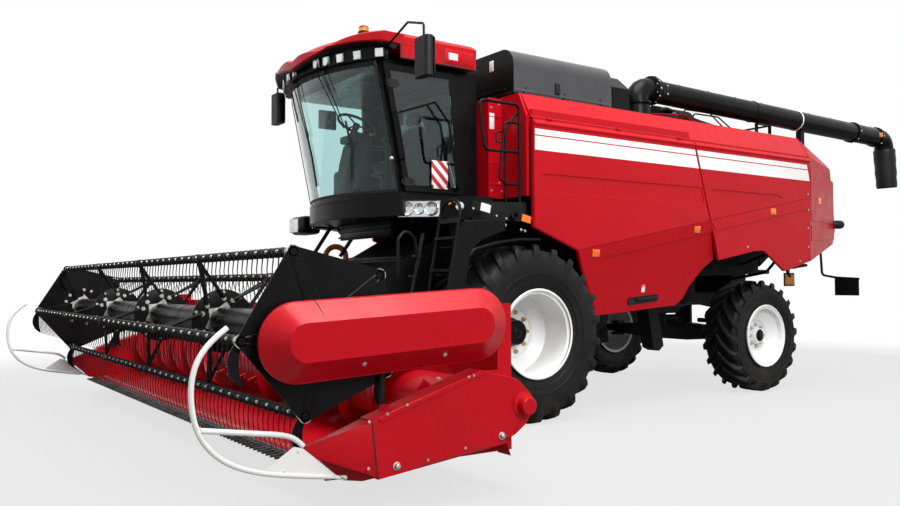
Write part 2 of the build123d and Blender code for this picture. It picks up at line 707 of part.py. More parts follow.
parts["cab_shell"] = make_cab_shell() + make_door_hinge_lugs()
parts["cab_glass"] = make_cab_glass()
parts["cab_door"] = make_cab_door()
parts["cab_door_glass"] = prism_x(door_outline(62.5), door_x + 14, door_x + 20)


def make_cab_roof():
    lean = (cab_top_z - cab_floor_z) * cab_lean
    corner_y = cab_front_y - lean + 105
    plan = front_arc_plan(roof_half_width, corner_y, brow_bulge, cab_rear_y - 110)
    top = extrude(Pos(0, 0, cab_top_z + 150) * plan, amount=roof_top_z - cab_top_z - 150)
    top = chamfer(top.edges().group_by(Axis.Z)[-1], 38)
    for s in (1, -1):
        skirt = box(s * (roof_half_width - 14) - 12, s * (roof_half_width - 14) + 12, corner_y + 60,
                    cab_rear_y - 112, cab_top_z + 15, cab_top_z + 153)
        top += skirt
    top += box(-roof_half_width + 5, roof_half_width - 5, cab_rear_y - 136, cab_rear_y - 112, cab_top_z + 22,
               cab_top_z + 153)
    return top


wheel_place = (0, -1092, 3066)
wheel_axis = Vector(0, 0.45, 1).normalized()


def make_cab_interior():
    """Seat, side console and steering column."""
    floor = cab_floor_z + cab_wall
    seat = box(-230, 230, -800, -360, floor, 2720) + box(-230, 230, -400, -270, 2700, 3330)
    console = box(260, 440, -900, -420, floor, 2960)
    pedestal = box(-110, 110, -1290, -1100, floor, 2640)
    top = Vector(*wheel_place) + wheel_axis * (14 - seat_gap)
    column = pedestal + rod(tuple(top - wheel_axis * 520), tuple(top), 38)
    return [seat, console, column]


def make_steering_wheel():
    plane = Plane(wheel_place, z_dir=wheel_axis)
    ring = revolve(plane * (Pos(215, 0, 40) * Rot(90, 0, 0) * Circle(15)), axis=Axis(plane.origin,
                                                                                     plane.z_dir))
    hub = extrude(plane * (Pos(0, 0, 14) * Circle(40)), amount=36)
    shape = ring + hub
    for i in range(3):
        a = math.radians(90 + 120 * i)
        start = plane * Pos(30 * math.cos(a), 30 * math.sin(a), 36)
        end = plane * Pos(212 * math.cos(a), 212 * math.sin(a), 40)
        shape += rod(start.position, end.position, 9)
    return shape


parts["cab_roof"] = make_cab_roof()
parts["cab_interior"] = make_cab_interior()
parts["steering_wheel"] = make_steering_wheel()


# ---------------------------------------------------------------- platform, ladder, rails, mirrors, lights
platform_top = 2190.0
wing_x = 1400.0
wing_tip_y = -570.0
wing_foot = (930.0, cab_front_y - 5)
platform_x = 1580.0


def make_cab_platform():
    """Black band under the cab with its two slanted wings, and the boarding platform."""
    front = front_arc_plan(cab_half_width, cab_front_y - 25, screen_bulge + 20, cab_rear_y + 15)
    band = extrude(Pos(0, 0, band_z) * front, amount=cab_floor_z - band_z)
    wing = prism_z([wing_foot, (wing_x, wing_tip_y), (wing_x, -300), (930, -300)], 2030, 2240)
    deck = prism_z([(985, -560), (wing_x, -560), (platform_x, -60), (platform_x, -25), (985, -25)], 2000,
                   platform_top)
    return band + wing + mirrored(wing) + deck + mirrored(deck)


def make_headlights():
    """Wrap-round lamps on the slanted wings."""
    foot = Vector(wing_foot[0], wing_foot[1])
    along = (Vector(wing_x, wing_tip_y) - foot).normalized()
    out = Vector(along.Y, -along.X)
    points = [foot + along * t + out * d for t, d in ((105, 0), (530, 0), (500, 33), (135, 33))]
    return both_sides(prism_z([(p.X, p.Y) for p in points], 2070, 2215))


beacon_x = 780.0
beacon_y = -1425.0
beacon_top_z = 3930.0
beacon_r = 50.0


def make_beacons():
    """Two round warning lamps on wider feet, seated on the roof's front corners."""
    foot = Pos(beacon_x, beacon_y, roof_top_z - 25) * Cylinder(beacon_r + 8, 80)
    foot -= parts["cab_roof"]
    height = beacon_top_z - roof_top_z
    dome = Pos(beacon_x, beacon_y, roof_top_z + height / 2) * Cylinder(beacon_r, height)
    dome = fillet(dome.edges().group_by(Axis.Z)[-1], beacon_r / 2)
    beacon = foot + dome
    return beacon + mirrored(beacon)


def make_ladder():
    """Boarding ladder in front of the left wheel: rails joined by an arch, steps, a side plate, its arms."""
    x0, x1, r = 1353, 1670, 15
    top_y, top_z, foot_y, foot_z = -905, 2040, -1190, 520

    def y_at(z):
        return foot_y + (z - foot_z) * (top_y - foot_y) / (top_z - foot_z)
    arch = [(x0, foot_y, foot_z), (x0, y_at(2175), 2175), (x1, y_at(2175), 2175), (x1, foot_y, foot_z)]
    ladder = bent_tube(arch, 150, r)
    steps = 5
    for i in range(steps):
        z = foot_z + 90 + i * 300
        y = y_at(z)
        ladder += box(x0, x1, y - 30, y + 70, z - 12, z + 12)
    plate = prism_x([(y_at(700), 700), (y_at(700) + 185, 700), (y_at(1925) + 185, 1925), (y_at(1925), 1925)],
                    x1 - 4, x1 + 4)
    ladder += plate
    for x in (x0 + 12, wing_x - 6):
        ladder += box(x - 10, x + 10, y_at(1980) - 6, -480, 1955, 2000)
    ladder += box(x0, x1, y_at(1980) - 6, y_at(1980) + 14, 1955, 2000)
    return ladder


def make_platform_rails():
    """Gate frame and hand rails along the platform's outer edge."""
    x, z = platform_x - 30, platform_top
    gate = bent_tube([(x, -85, z), (x, -85, 3165), (x, -590, 3165), (x, -520, 2680), (x, -85, 2690)], 60, 15)
    lower = bent_tube([(x, -85, 2980), (x, -270, 2975), (x, -345, 2420), (x, -260, 2362), (x, -85, 2365)],
                      45, 12)
    grab = bent_tube([(x - 25, -245, z), (x - 25, -245, 2900), (x - 25, -100, 3080), (x, -90, 3080)], 24, 12)
    handle = bent_tube([(x - 25, -245, 2880), (x - 25, -355, 2875), (x - 18, -364, 2772), (x, -298, 2766)],
                       22, 9)
    return gate + lower + grab + handle


def make_mirrors():
    side = cab_half_width + 80
    left_arm = bent_tube([(side + 6, -1362, 3640), (1500, -1365, 3790), (1800, -1385, 3700), (1800, -1385,
                                                                                              3560)], 40, 11)
    left_arm += box(side, side + 12, -1395, -1330, 3590, 3690)
    housing = box(1690, 1910, -1430, -1340, 3220, 3575)
    left = left_arm + fillet(housing.edges().filter_by(Axis.Z), 40)
    right_arm = bent_tube([(-side - 10, -1362, 3640), (-1200, -1440, 3720), (-1250, -1455, 3700), (-1250,
                                                                                                   -1455,
                                                                                                   3610)],
                          20, 11)
    right_arm += box(-side - 12, -side, -1395, -1330, 3590, 3690)
    housing = box(-1360, -1140, -1500, -1410, 3270, 3625)
    right = right_arm + fillet(housing.edges().filter_by(Axis.Z), 40)
    return [left, right]


parts["cab_platform"] = make_cab_platform()
parts["headlights"] = make_headlights()
parts["beacons"] = make_beacons()
parts["ladder"] = make_ladder()
parts["platform_rails"] = make_platform_rails()
parts["mirrors"] = make_mirrors()


# ---------------------------------------------------------------- feeder house and header
def make_feeder_house():
    front = header_auger_y + trough_r + 120
    side = [(-230, 1990), (front, 1165), (front, 350), (-230, 1330)]
    inner = [(-200, 1960), (front - 30, 1110), (front - 30, 400), (-200, 1395)]
    shape = prism_x(side, -feeder_half_width, feeder_half_width)
    shape -= prism_x(inner, -feeder_half_width + 25, feeder_half_width - 25)
    shape += rod((-feeder_half_width - 60, feeder_pivot_y, feeder_pivot_z),
                 (feeder_half_width + 60, feeder_pivot_y, feeder_pivot_z), 45)
    for s in (1, -1):
        ear = prism_x([(-260, 1900), (-118, 1845), (-118, 1755), (-260, 1600)],
                      s * (feeder_half_width - 20) - 15,
                      s * (feeder_half_width - 20) + 15)
        shape += ear
        x = s * lift_x
        for dx in (-45, 45):
            lug = prism_x([(-1450, 580), (-1180, 750), (-1290, 485), (-1370, 485)], x + dx - 12, x + dx + 12)
            shape += lug
        shape += rod((x - 50, lift_eye_y, lift_eye_z), (x + 50, lift_eye_y, lift_eye_z), 16)
    return shape


def header_pan(offset):
    """Points of the pan's side view, from the back's top to the cutter bar."""
    r = trough_r + offset
    y0 = header_auger_y
    z0 = header_auger_z
    arc = [polar(y0, z0, r, d) for d in range(0, -91, -15)]
    return [(y0 + r, header_top_z)] + arc + [(knife_y + 60, floor_z - offset)]


def make_header_frame():
    pan = header_pan(0) + list(reversed(header_pan(sheet)))
    w = header_half_width
    shape = prism_x(pan, -w - sheet, w + sheet)
    back = header_auger_y + trough_r
    shape += box(-w - sheet, w + sheet, back, back + 120, header_top_z - 120, header_top_z)
    shape += box(-w - sheet, w + sheet, back + sheet - 1, back + 120, 250, 370)
    shape += box(-mouth[0] - 60, mouth[0] + 60, back + 5, back + 120, 300, header_top_z - 60)
    shape -= box(-mouth[0], mouth[0], back - 5, back + 130, mouth[1], mouth[2])
    wall = [(back + 120, 250), (back + 120, 1250), (arm_pivot_y - 60, 1250), (arm_pivot_y - 60, 1090),
            (back, 950),
            (back, 800), (-2080, 800), (-2850, 545),
            (-3300, 445), (-3060, 215), (knife_y + 60, floor_z - sheet), (header_auger_y,
                                                                          header_auger_z - trough_r - 15)]
    for s in (1, -1):
        side = prism_x(wall, min(s * w, s * (w + sheet)), max(s * w, s * (w + sheet)))
        side -= Pos(s * w, header_auger_y, header_auger_z) * Rot(0, 90, 0) * Cylinder(40.05, 100)
        shape += side
    pivot = rod((arm_x0 - 5, arm_pivot_y, arm_pivot_z), (w + 5, arm_pivot_y, arm_pivot_z), 30)
    foot = rod((reel_cylinder_x - 14, reel_cylinder_y, reel_cylinder_z0), (w + 5, reel_cylinder_y,
                                                                           reel_cylinder_z0), 12)
    plate = prism_x([(reel_cylinder_y - 70, 480), (reel_cylinder_y - 30, 640), (reel_cylinder_y + 30, 640),
                     (reel_cylinder_y + 70, 480)], w, w + sheet)
    return shape + pivot + mirrored(pivot) + foot + mirrored(foot) + plate + mirrored(plate)


def make_header_shields():
    """Side covers over the knife drive: bevelled nose, round rear end with a round cap."""
    x0 = header_half_width + sheet
    x1 = header_half_width + 170
    main = prism_x([(-2891, 231), (-2932, 574), (-2127, 819), (-1854, 753), (-1730, 670), (-1685, 597),
                    (-1740, 470), (-1927, 336)], x0, x1)
    nose = loft([
        Plane((0, -2891, 0), x_dir=(1, 0, 0), z_dir=(0, -1, 0)) * make_face(Polyline(
            (x0, 231), (x1, 231), (x1, 560), (x0, 560), close=True)),
        Plane((0, -3310, 0), x_dir=(1, 0, 0), z_dir=(0, -1, 0)) * make_face(Polyline(
            (x0, 395), (x0 + 20, 395), (x0 + 20, 445), (x0, 445), close=True))])
    cap = rod((x1 - 5, -1775, 570), (x1 + 70, -1775, 570), 55)
    return both_sides(main + nose + cap)


def make_hoops():
    """White crop divider hoops in front of both noses."""
    x = hoop_x
    arc = [(-3788, 1154), (-3930, 1030), (hoop_front_y, 840), (-3938, 602), (-3740, 383), (-3222, 265)]
    hoop = bent_tube([(x, y, z) for y, z in arc], 120, hoop_r)
    bar = bent_tube([(x, -3935, 606), (x, -3425, 527), (x, -3342, 463)], 40, hoop_r)
    plate = prism_x([(-3377, 451), (-3557, 355), (-3545, 335), (-3040, 215)], x - 3, x + 3)
    foot = box(header_half_width + sheet, x + 3, -3090, -3045, 226, 250)
    return both_sides(hoop + bar + plate + foot)


parts["feeder_house"] = make_feeder_house()
parts["header_frame"] = make_header_frame()
parts["header_shields"] = make_header_shields()
parts["divider_hoops"] = make_hoops()


# ---------------------------------------------------------------- cutter bar
finger_pitch = 76.2
finger_count = 88


def toothed(width_end, y_gullet, y_tip, tip, z0, z1, count, pitch, back_y):
    """Flat bar whose front edge is a row of teeth."""
    points = [(-count * pitch / 2, back_y)]
    for i in range(count):
        c = (i - (count - 1) / 2) * pitch
        points += [(c - width_end, y_gullet), (c - tip, y_tip), (c + tip, y_tip), (c + width_end, y_gullet)]
    points += [(count * pitch / 2, back_y)]
    return prism_z(points, z0, z1)


def make_guards():
    return toothed(17, knife_y - 30, knife_y - 125, 4, floor_z - 14, floor_z + 3, finger_count, finger_pitch,
                   knife_y + 60)


def make_knife():
    return toothed(36, knife_y - 12, knife_y - 62, 8, floor_z + 3 + seat_gap, floor_z + 9, finger_count,
                   finger_pitch, knife_y + 25)


parts["knife_guards"] = make_guards()
parts["knife"] = make_knife()


# ---------------------------------------------------------------- header auger
def make_flight(hand):
    """A helical blade wound round the auger tube, from the middle to one side; hand is 1 or -1."""
    half_angle = math.pi * flight_thickness / flight_pitch
    inner, outer = header_auger_tube_r - 4, header_auger_r

    def at(radius, angle):
        return (radius * math.cos(angle), radius * math.sin(angle))
    section = make_face([
        Line(at(inner, -half_angle), at(outer, -half_angle)),
        ThreePointArc(at(outer, -half_angle), at(outer, 0), at(outer, half_angle)),
        Line(at(outer, half_angle), at(inner, half_angle)),
        ThreePointArc(at(inner, half_angle), at(inner, 0), at(inner, -half_angle))])
    length = header_half_width - 40 - finger_half_width
    turn = 360 * length / flight_pitch
    blade = Solid.extrude_linear_with_rotation(section.faces()[0], (0, 0, 0), Vector(0, 0, length), -turn)
    blade = Pos(finger_half_width, header_auger_y, header_auger_z) * Rot(0, 90, 0) * blade
    return blade if hand > 0 else mirrored(blade)


def make_header_auger():
    """Tube with opposed helical flights that draw the crop to the middle, and a field of fingers there."""
    half = header_half_width
    y, z = header_auger_y, header_auger_z
    shape = rod((-half + 30, y, z), (half - 30, y, z), header_auger_tube_r)
    for s in (1, -1):
        shape += rod((s * (half - 40), y, z), (s * (half + sheet - 5), y, z), 40)
        shape += make_flight(s)
    for i in range(finger_rows * 4):
        x = (i - (finger_rows * 4 - 1) / 2) * 2 * (finger_half_width - 60) / (finger_rows * 4)
        y1, z1 = polar(y, z, header_auger_r - 8, 90 * i + 20)
        y0, z0 = polar(y, z, header_auger_tube_r - 10, 90 * i + 20)
        shape += rod((x, y0, z0), (x, y1, z1), 8)
    return shape


parts["header_auger"] = make_header_auger()


# ---------------------------------------------------------------- reel
def bat_place(i):
    return polar(reel_y, reel_z, reel_r, reel_phase - 72 * i)


def make_reel():
    """Central tube with spider discs, paired arms and five-sided end shields that carry the bats."""
    hw = reel_half_width
    shape = rod((-hw, reel_y, reel_z), (hw, reel_y, reel_z), reel_tube_r)
    corner_r = reel_r + bat_r + 23
    corners = [polar(reel_y, reel_z, corner_r, reel_phase - 72 * i) for i in range(reel_bats)]
    for s in (1, -1):
        shape += rod((s * (hw - 5), reel_y, reel_z), (s * (arm_x1 + 8), reel_y, reel_z), 30)
        shape += prism_x(corners, min(s * hw, s * (hw + 8)), max(s * hw, s * (hw + 8)))
    for x in (-spider_spacing, 0, spider_spacing):
        shape += rod((x - 4, reel_y, reel_z), (x + 4, reel_y, reel_z), spider_disc_r)
        for i in range(reel_bats):
            turn = reel_phase - 72 * i
            y1, z1 = polar(reel_y, reel_z, reel_r, turn)
            for spread in (-24, 24):
                y0, z0 = polar(reel_y, reel_z, spider_disc_r - 22, turn + spread)
                shape += rod((x, y0, z0), (x, y1, z1), 11)
            shape += rod((x - 15, y1, z1), (x + 15, y1, z1), bat_r + 14)
    for i in range(reel_bats):
        y, z = bat_place(i)
        shape -= rod((-hw - 30, y, z), (hw + 30, y, z), bat_r + running_gap)
    return shape


def make_bat(i):
    """One tine bar: it keeps its tines pointing down while the reel turns."""
    y, z = bat_place(i)
    hw = reel_half_width
    shape = rod((-hw - 10, y, z), (hw + 10, y, z), bat_r)
    for s in (1, -1):
        x = s * (hw - 32)
        outer = ThreePointArc((y + 32, z + 20), (y - 62, z - 70), (y + 22, z - 265))
        inner = ThreePointArc((y + 22, z - 265), (y - 2, z - 95), (y + 32, z + 20))
        face = Plane((x - 5, 0, 0), x_dir=(0, 1, 0), z_dir=(1, 0, 0)) * make_face([outer, inner])
        shape += extrude(face, amount=10)
    return shape


parts["reel"] = make_reel()
for i in range(reel_bats):
    parts["reel_bat_%d" % (i + 1)] = make_bat(i)


# ---------------------------------------------------------------- reel arms and their cover
def make_reel_arms():
    """Two tapered arms from the header's back to the reel shaft, with the cover's spacers on the left."""
    x0, x1 = arm_x0, arm_x1
    run = math.hypot(reel_y - arm_pivot_y, reel_z - arm_pivot_z)
    arm = prism_x([(arm_pivot_y, arm_pivot_z + 50), (arm_pivot_y, arm_pivot_z - 50), (reel_y, reel_z - 65),
                   (reel_y, reel_z + 65)], x0, x1)
    arm += rod((x0, arm_pivot_y, arm_pivot_z), (x1, arm_pivot_y, arm_pivot_z), 52)
    arm += rod((x0, reel_y, reel_z), (x1, reel_y, reel_z), 70)
    y = reel_cylinder_y
    for xe in (x0 - 8, x1):
        arm += prism_x([(y - 35, reel_cylinder_z1 - 30), (y + 35, reel_cylinder_z1 - 30),
                        (y + 60, reel_cylinder_z1 + 80), (y - 60, reel_cylinder_z1 + 80)], xe, xe + 8)
    arm += rod((x0 - 8, y, reel_cylinder_z1), (x1 + 8, y, reel_cylinder_z1), 7)
    arm -= rod((x0 - 5, reel_y, reel_z), (x1 + 5, reel_y, reel_z), 30 + running_gap)
    arm -= rod((x0 - 5, arm_pivot_y, arm_pivot_z), (x1 + 5, arm_pivot_y, arm_pivot_z), 30 + running_gap)
    left = arm
    for y, z in ((reel_y + 260, reel_z), (-2450, 1130)):
        left += box(x1 - 5, cover_x0, y - 60, y + 60, z - 35, z + 35)
    return [left, mirrored(arm)]


def make_reel_cover():
    """Long bevelled cover with round ends over the reel drive, on the left arm."""
    y0, z0, y1, z1 = -3362, 1050, -2070, 1117
    rim_part = extrude(stadium(y0, z0, y1, z1, cover_r, cover_x0), amount=cover_x1 - cover_x0)
    bevel = loft([stadium(y0, z0, y1, z1, cover_r, cover_x1), stadium(y0 - 8, z0 + 8, y1 - 88, z1 + 2, 112,
                                                                      cover_x2)])
    return rim_part + bevel


def reel_cylinder_parts():
    x, y, z0, z1 = reel_cylinder_x, reel_cylinder_y, reel_cylinder_z0, reel_cylinder_z1
    barrel = rod((x, y, z0 + 18), (x, y, z1 - 110), 19)
    barrel += rod((x - 11, y, z0), (x + 11, y, z0), 24)
    barrel -= rod((x - 12, y, z0), (x + 12, y, z0), 12 + running_gap)
    barrel -= rod((x, y, z0 + 40), (x, y, z1), 11 + running_gap)
    shaft = rod((x, y, z0 + 110), (x, y, z1 - 22), 11) + rod((x - 9, y, z1), (x + 9, y, z1), 26)
    shaft -= rod((x - 10, y, z1), (x + 10, y, z1), 7 + 0.8 * eye_drift)
    return both_sides(barrel), both_sides(shaft)


parts["reel_arms"] = make_reel_arms()
parts["reel_drive_cover"] = make_reel_cover()
barrels, shafts = reel_cylinder_parts()
parts["reel_lift_barrels"] = barrels
parts["reel_lift_rods"] = shafts


def lift_cylinder_parts():
    start = Vector(0, lift_pin_y, lift_pin_z)
    end = Vector(0, lift_eye_y, lift_eye_z)
    along = (end - start).normalized()
    length = (end - start).length

    def at(x, distance):
        p = start + along * distance
        return (x, p.Y, p.Z)

    barrel = rod(at(lift_x, 30), at(lift_x, length - 420), 45) + rod(at(lift_x - 44, 0), at(lift_x + 44, 0),
                                                                     40)
    barrel -= rod(at(lift_x, 80), at(lift_x, length - 410), 28 + running_gap)
    barrel += rod((lift_x - 66, lift_pin_y, lift_pin_z), (lift_x + 66, lift_pin_y, lift_pin_z), 25)
    shaft = rod(at(lift_x, 150), at(lift_x, length - 30), 28) + rod(at(lift_x - 28, length), at(lift_x + 28,
                                                                                                length), 42)
    shaft -= rod((lift_x - 60, lift_eye_y, lift_eye_z), (lift_x + 60, lift_eye_y, lift_eye_z), 16 + eye_drift)
    return both_sides(barrel), both_sides(shaft)


barrels, shafts = lift_cylinder_parts()
parts["header_lift_barrels"] = barrels
parts["header_lift_rods"] = shafts


# ---------------------------------------------------------------- write every node
front_y = min(s.bounding_box().min.Y for s in parts["divider_hoops"])
origin_y = round((front_y + auger_end_y) / 2)


def solids_of(shape):
    pieces = shape if isinstance(shape, (list, tuple)) else [shape]
    found = []
    for piece in pieces:
        found += piece.solids()
    return found


os.makedirs("parts", exist_ok=True)
for name, shape in parts.items():
    found = [s.moved(Location((0, -origin_y, 0))) for s in solids_of(shape)]
    export_step(found[0] if len(found) == 1 else Compound(children=found), "parts/" + name + ".step")
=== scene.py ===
import json
import math

import bmesh
import bpy
from mathutils import Matrix, Vector


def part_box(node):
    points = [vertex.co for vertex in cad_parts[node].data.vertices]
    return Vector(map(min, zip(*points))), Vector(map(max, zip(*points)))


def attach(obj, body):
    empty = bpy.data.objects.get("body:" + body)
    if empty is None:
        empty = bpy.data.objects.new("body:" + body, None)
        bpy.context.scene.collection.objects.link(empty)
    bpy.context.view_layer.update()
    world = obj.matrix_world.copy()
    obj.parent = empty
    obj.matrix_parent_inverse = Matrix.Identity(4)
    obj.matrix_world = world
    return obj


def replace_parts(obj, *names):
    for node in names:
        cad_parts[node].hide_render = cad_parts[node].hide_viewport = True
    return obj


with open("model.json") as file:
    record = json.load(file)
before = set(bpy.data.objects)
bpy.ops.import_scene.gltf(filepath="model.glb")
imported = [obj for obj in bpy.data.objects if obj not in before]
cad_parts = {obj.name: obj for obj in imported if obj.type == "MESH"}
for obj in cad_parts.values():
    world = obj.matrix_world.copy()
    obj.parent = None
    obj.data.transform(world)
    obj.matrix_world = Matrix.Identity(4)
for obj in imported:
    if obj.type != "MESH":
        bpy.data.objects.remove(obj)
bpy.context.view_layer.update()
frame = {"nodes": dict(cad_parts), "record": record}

# Metres, +Z up. The machine drives towards -Y and its left side is +X.
# Lengths along Y are given from the front axle, as in the part's own drawing.
tyre_low, tyre_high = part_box("front_tyre_left")
AXLE_Y = (tyre_low.y + tyre_high.y) / 2


def at(x, y, z):
    """A point, its Y given from the front axle."""
    return Vector((x, y + AXLE_Y, z))


joints = {row["name"]: row for row in frame["record"]["behaviour"]["joints"]}


def joint_place(name):
    """A joint's place in the frame."""
    return Vector(joints[name]["pos_m"])


# ---------------------------------------------------------------- finishes
def new_material(name):
    """A material with one plain shader, ready for its nodes."""
    material = bpy.data.materials.new(name)
    material.use_nodes = True
    tree = material.node_tree
    tree.nodes.clear()
    out = tree.nodes.new("ShaderNodeOutputMaterial")
    shader = tree.nodes.new("ShaderNodeBsdfPrincipled")
    tree.links.new(shader.outputs["BSDF"], out.inputs["Surface"])
    return material, tree, shader


def noise_on(tree, scale, detail=3.0, rough=0.55):
    """Noise on a piece's own coordinates."""
    place = tree.nodes.new("ShaderNodeTexCoord")
    noise = tree.nodes.new("ShaderNodeTexNoise")
    noise.inputs["Scale"].default_value = scale
    noise.inputs["Detail"].default_value = detail
    noise.inputs["Roughness"].default_value = rough
    tree.links.new(place.outputs["Object"], noise.inputs["Vector"])
    return noise.outputs["Fac"]


def spread(tree, value, low, high, to_low, to_high):
    """A value's range mapped onto another, and held to it."""
    node = tree.nodes.new("ShaderNodeMapRange")
    for key, number in (("From Min", low), ("From Max", high), ("To Min", to_low), ("To Max", to_high)):
        node.inputs[key].default_value = number
    tree.links.new(value, node.inputs["Value"])
    return node.outputs["Result"]


def blend_colours(tree, factor, first, second):
    """From the first colour to the second; each is a colour or a socket."""
    node = tree.nodes.new("ShaderNodeMix")
    node.data_type = "RGBA"
    tree.links.new(factor, node.inputs[0])
    for socket, colour in ((node.inputs[6], first), (node.inputs[7], second)):
        if isinstance(colour, tuple):
            socket.default_value = colour + (1,)
        else:
            tree.links.new(colour, socket)
    return node.outputs[2]


def maths(tree, operation, first, second):
    """A Math node between two sockets, or a socket and a number."""
    node = tree.nodes.new("ShaderNodeMath")
    node.operation = operation
    tree.links.new(first, node.inputs[0])
    if isinstance(second, float):
        node.inputs[1].default_value = second
    else:
        tree.links.new(second, node.inputs[1])
    return node.outputs[0]


def own_axes(tree):
    """X, Y and Z of a piece's own coordinates."""
    place = tree.nodes.new("ShaderNodeTexCoord")
    split = tree.nodes.new("ShaderNodeSeparateXYZ")
    tree.links.new(place.outputs["Object"], split.inputs[0])
    return split.outputs


def bumped(tree, shader, height, strength, distance):
    """Relief on a shader from a height."""
    node = tree.nodes.new("ShaderNodeBump")
    node.inputs["Strength"].default_value = strength
    node.inputs["Distance"].default_value = distance
    tree.links.new(height, node.inputs["Height"])
    tree.links.new(node.outputs["Normal"], shader.inputs["Normal"])


def coated(name, colour, worn, roughness, bump=0.0, grain=160.0, patch=2.2, coat=0.0, metallic=0.0, dust=None,
           dust_height=1.2, specular=0.5):
    """Paint, rubber, iron or moulded plastic: patchy colour and gloss, a fine grain, and dust low down."""
    material, tree, shader = new_material(name)
    patches = noise_on(tree, patch, 4.0)
    base = blend_colours(tree, spread(tree, patches, 0.35, 0.68, 0, 1), colour, worn)
    if dust:
        low_down = spread(tree, own_axes(tree)["Z"], dust_height, 0.0, 0.0, 1.0)
        specks = spread(tree, noise_on(tree, 5.5, 6.0), 0.42, 0.7, 0, 0.55)
        base = blend_colours(tree, maths(tree, "MULTIPLY", low_down, specks), base, dust)
    tree.links.new(base, shader.inputs["Base Color"])
    gloss = spread(tree, noise_on(tree, patch * 3.1, 5.0), 0.3, 0.7, roughness[0], roughness[1])
    tree.links.new(gloss, shader.inputs["Roughness"])
    if bump:
        bumped(tree, shader, noise_on(tree, grain, 2.0), bump, 0.002)
    shader.inputs["Coat Weight"].default_value = coat
    shader.inputs["Coat Roughness"].default_value = 0.07
    shader.inputs["Metallic"].default_value = metallic
    shader.inputs["Specular IOR Level"].default_value = specular
    return material


def glassy(name, colour, roughness, ripple=0.0, ripple_scale=30.0):
    """Clear or tinted glass, with the faint waves and smears of a pane, or the ribs of a lamp."""
    material, tree, shader = new_material(name)
    shader.inputs["Base Color"].default_value = colour + (1,)
    shader.inputs["Transmission Weight"].default_value = 1.0
    shader.inputs["IOR"].default_value = 1.45
    tree.links.new(spread(tree, noise_on(tree, 3.0, 5.0), 0.4, 0.75, roughness, roughness + 0.06),
                   shader.inputs["Roughness"])
    if ripple:
        bumped(tree, shader, noise_on(tree, ripple_scale, 1.0), ripple, 0.004)
    return material


def woven(name, colour, thread):
    """Seat cloth: two crossing sets of threads, with a soft sheen."""
    material, tree, shader = new_material(name)
    place = tree.nodes.new("ShaderNodeTexCoord")
    heights = []
    for axis in ("X", "Y"):
        wave = tree.nodes.new("ShaderNodeTexWave")
        wave.bands_direction = axis
        wave.inputs["Scale"].default_value = 130.0
        wave.inputs["Distortion"].default_value = 1.2
        tree.links.new(place.outputs["Object"], wave.inputs["Vector"])
        heights.append(wave.outputs["Fac"])
    weave = maths(tree, "MULTIPLY", *heights)
    tree.links.new(blend_colours(tree, weave, colour, thread), shader.inputs["Base Color"])
    bumped(tree, shader, weave, 0.5, 0.001)
    shader.inputs["Roughness"].default_value = 0.9
    shader.inputs["Sheen Weight"].default_value = 0.4
    return material


def striped_board(name, first, second, pitch):
    """Retro-reflecting warning board: slanting bands of two colours."""
    material, tree, shader = new_material(name)
    x, y, z = own_axes(tree)
    slant = maths(tree, "ADD", maths(tree, "ADD", x, y), z)
    side = maths(tree, "GREATER_THAN", maths(tree, "PINGPONG", slant, pitch), pitch / 2)
    tree.links.new(blend_colours(tree, side, first, second), shader.inputs["Base Color"])
    tree.links.new(spread(tree, noise_on(tree, 40.0), 0.3, 0.7, 0.25, 0.4), shader.inputs["Roughness"])
    return material


FINISH = {}


def add_finish(make, name, *numbers, **more):
    """A finish made and kept under its name."""
    FINISH[name] = make(name, *numbers, **more)


add_finish(coated, "red_paint", (0.46, 0.002, 0.009), (0.42, 0.002, 0.008), (0.27, 0.40), 0.02, 240.0, coat=0.03,
           specular=0.16)
add_finish(coated, "black_paint", (0.003, 0.003, 0.0033), (0.006, 0.006, 0.0065), (0.24, 0.38), 0.03, 260.0,
           specular=0.11)
add_finish(coated, "matt_black", (0.003, 0.003, 0.0032), (0.008, 0.0075, 0.007), (0.45, 0.7), 0.12, 90.0,
           dust=(0.03, 0.025, 0.02), dust_height=0.8, specular=0.2)
# Tank covers: a grey lighter than their black front ends, painted light of the tops lit from above.
add_finish(coated, "cover_grey", (0.034, 0.035, 0.039), (0.026, 0.027, 0.030), (0.30, 0.42), 0.06, 170.0, coat=0.3)
add_finish(coated, "wheel_white", (0.86, 0.87, 0.87), (0.78, 0.78, 0.77), (0.34, 0.5), 0.05, 120.0, coat=0.2,
           dust=(0.62, 0.58, 0.52), dust_height=0.5)
add_finish(coated, "white_paint", (0.84, 0.84, 0.83), (0.76, 0.76, 0.75), (0.28, 0.4), 0.03, 150.0, coat=0.2)
add_finish(coated, "tyre_rubber", (0.0035, 0.0035, 0.0035), (0.008, 0.0075, 0.0075), (0.42, 0.62), 0.2, 70.0,
           dust=(0.035, 0.03, 0.025), dust_height=0.4, specular=0.20)
add_finish(coated, "black_plastic", (0.006, 0.006, 0.0065), (0.010, 0.010, 0.011), (0.4, 0.55), 0.3, 420.0,
           specular=0.25)
add_finish(woven, "seat_fabric", (0.020, 0.021, 0.024), (0.055, 0.056, 0.06))
add_finish(glassy, "window_glass", (0.66, 0.85, 0.84), 0.0)
add_finish(glassy, "lamp_glass", (0.93, 0.96, 0.97), 0.02, 0.6, 45.0)
add_finish(coated, "blade_steel", (0.16, 0.16, 0.165), (0.07, 0.06, 0.055), (0.3, 0.55), 0.2, 110.0, patch=9.0,
           metallic=0.9)
add_finish(coated, "chrome_rod", (0.75, 0.75, 0.76), (0.62, 0.62, 0.63), (0.06, 0.14), 0.02, 200.0, metallic=1.0)
add_finish(coated, "zinc", (0.62, 0.62, 0.60), (0.45, 0.44, 0.41), (0.28, 0.45), 0.1, 200.0, patch=14.0,
           metallic=0.95)
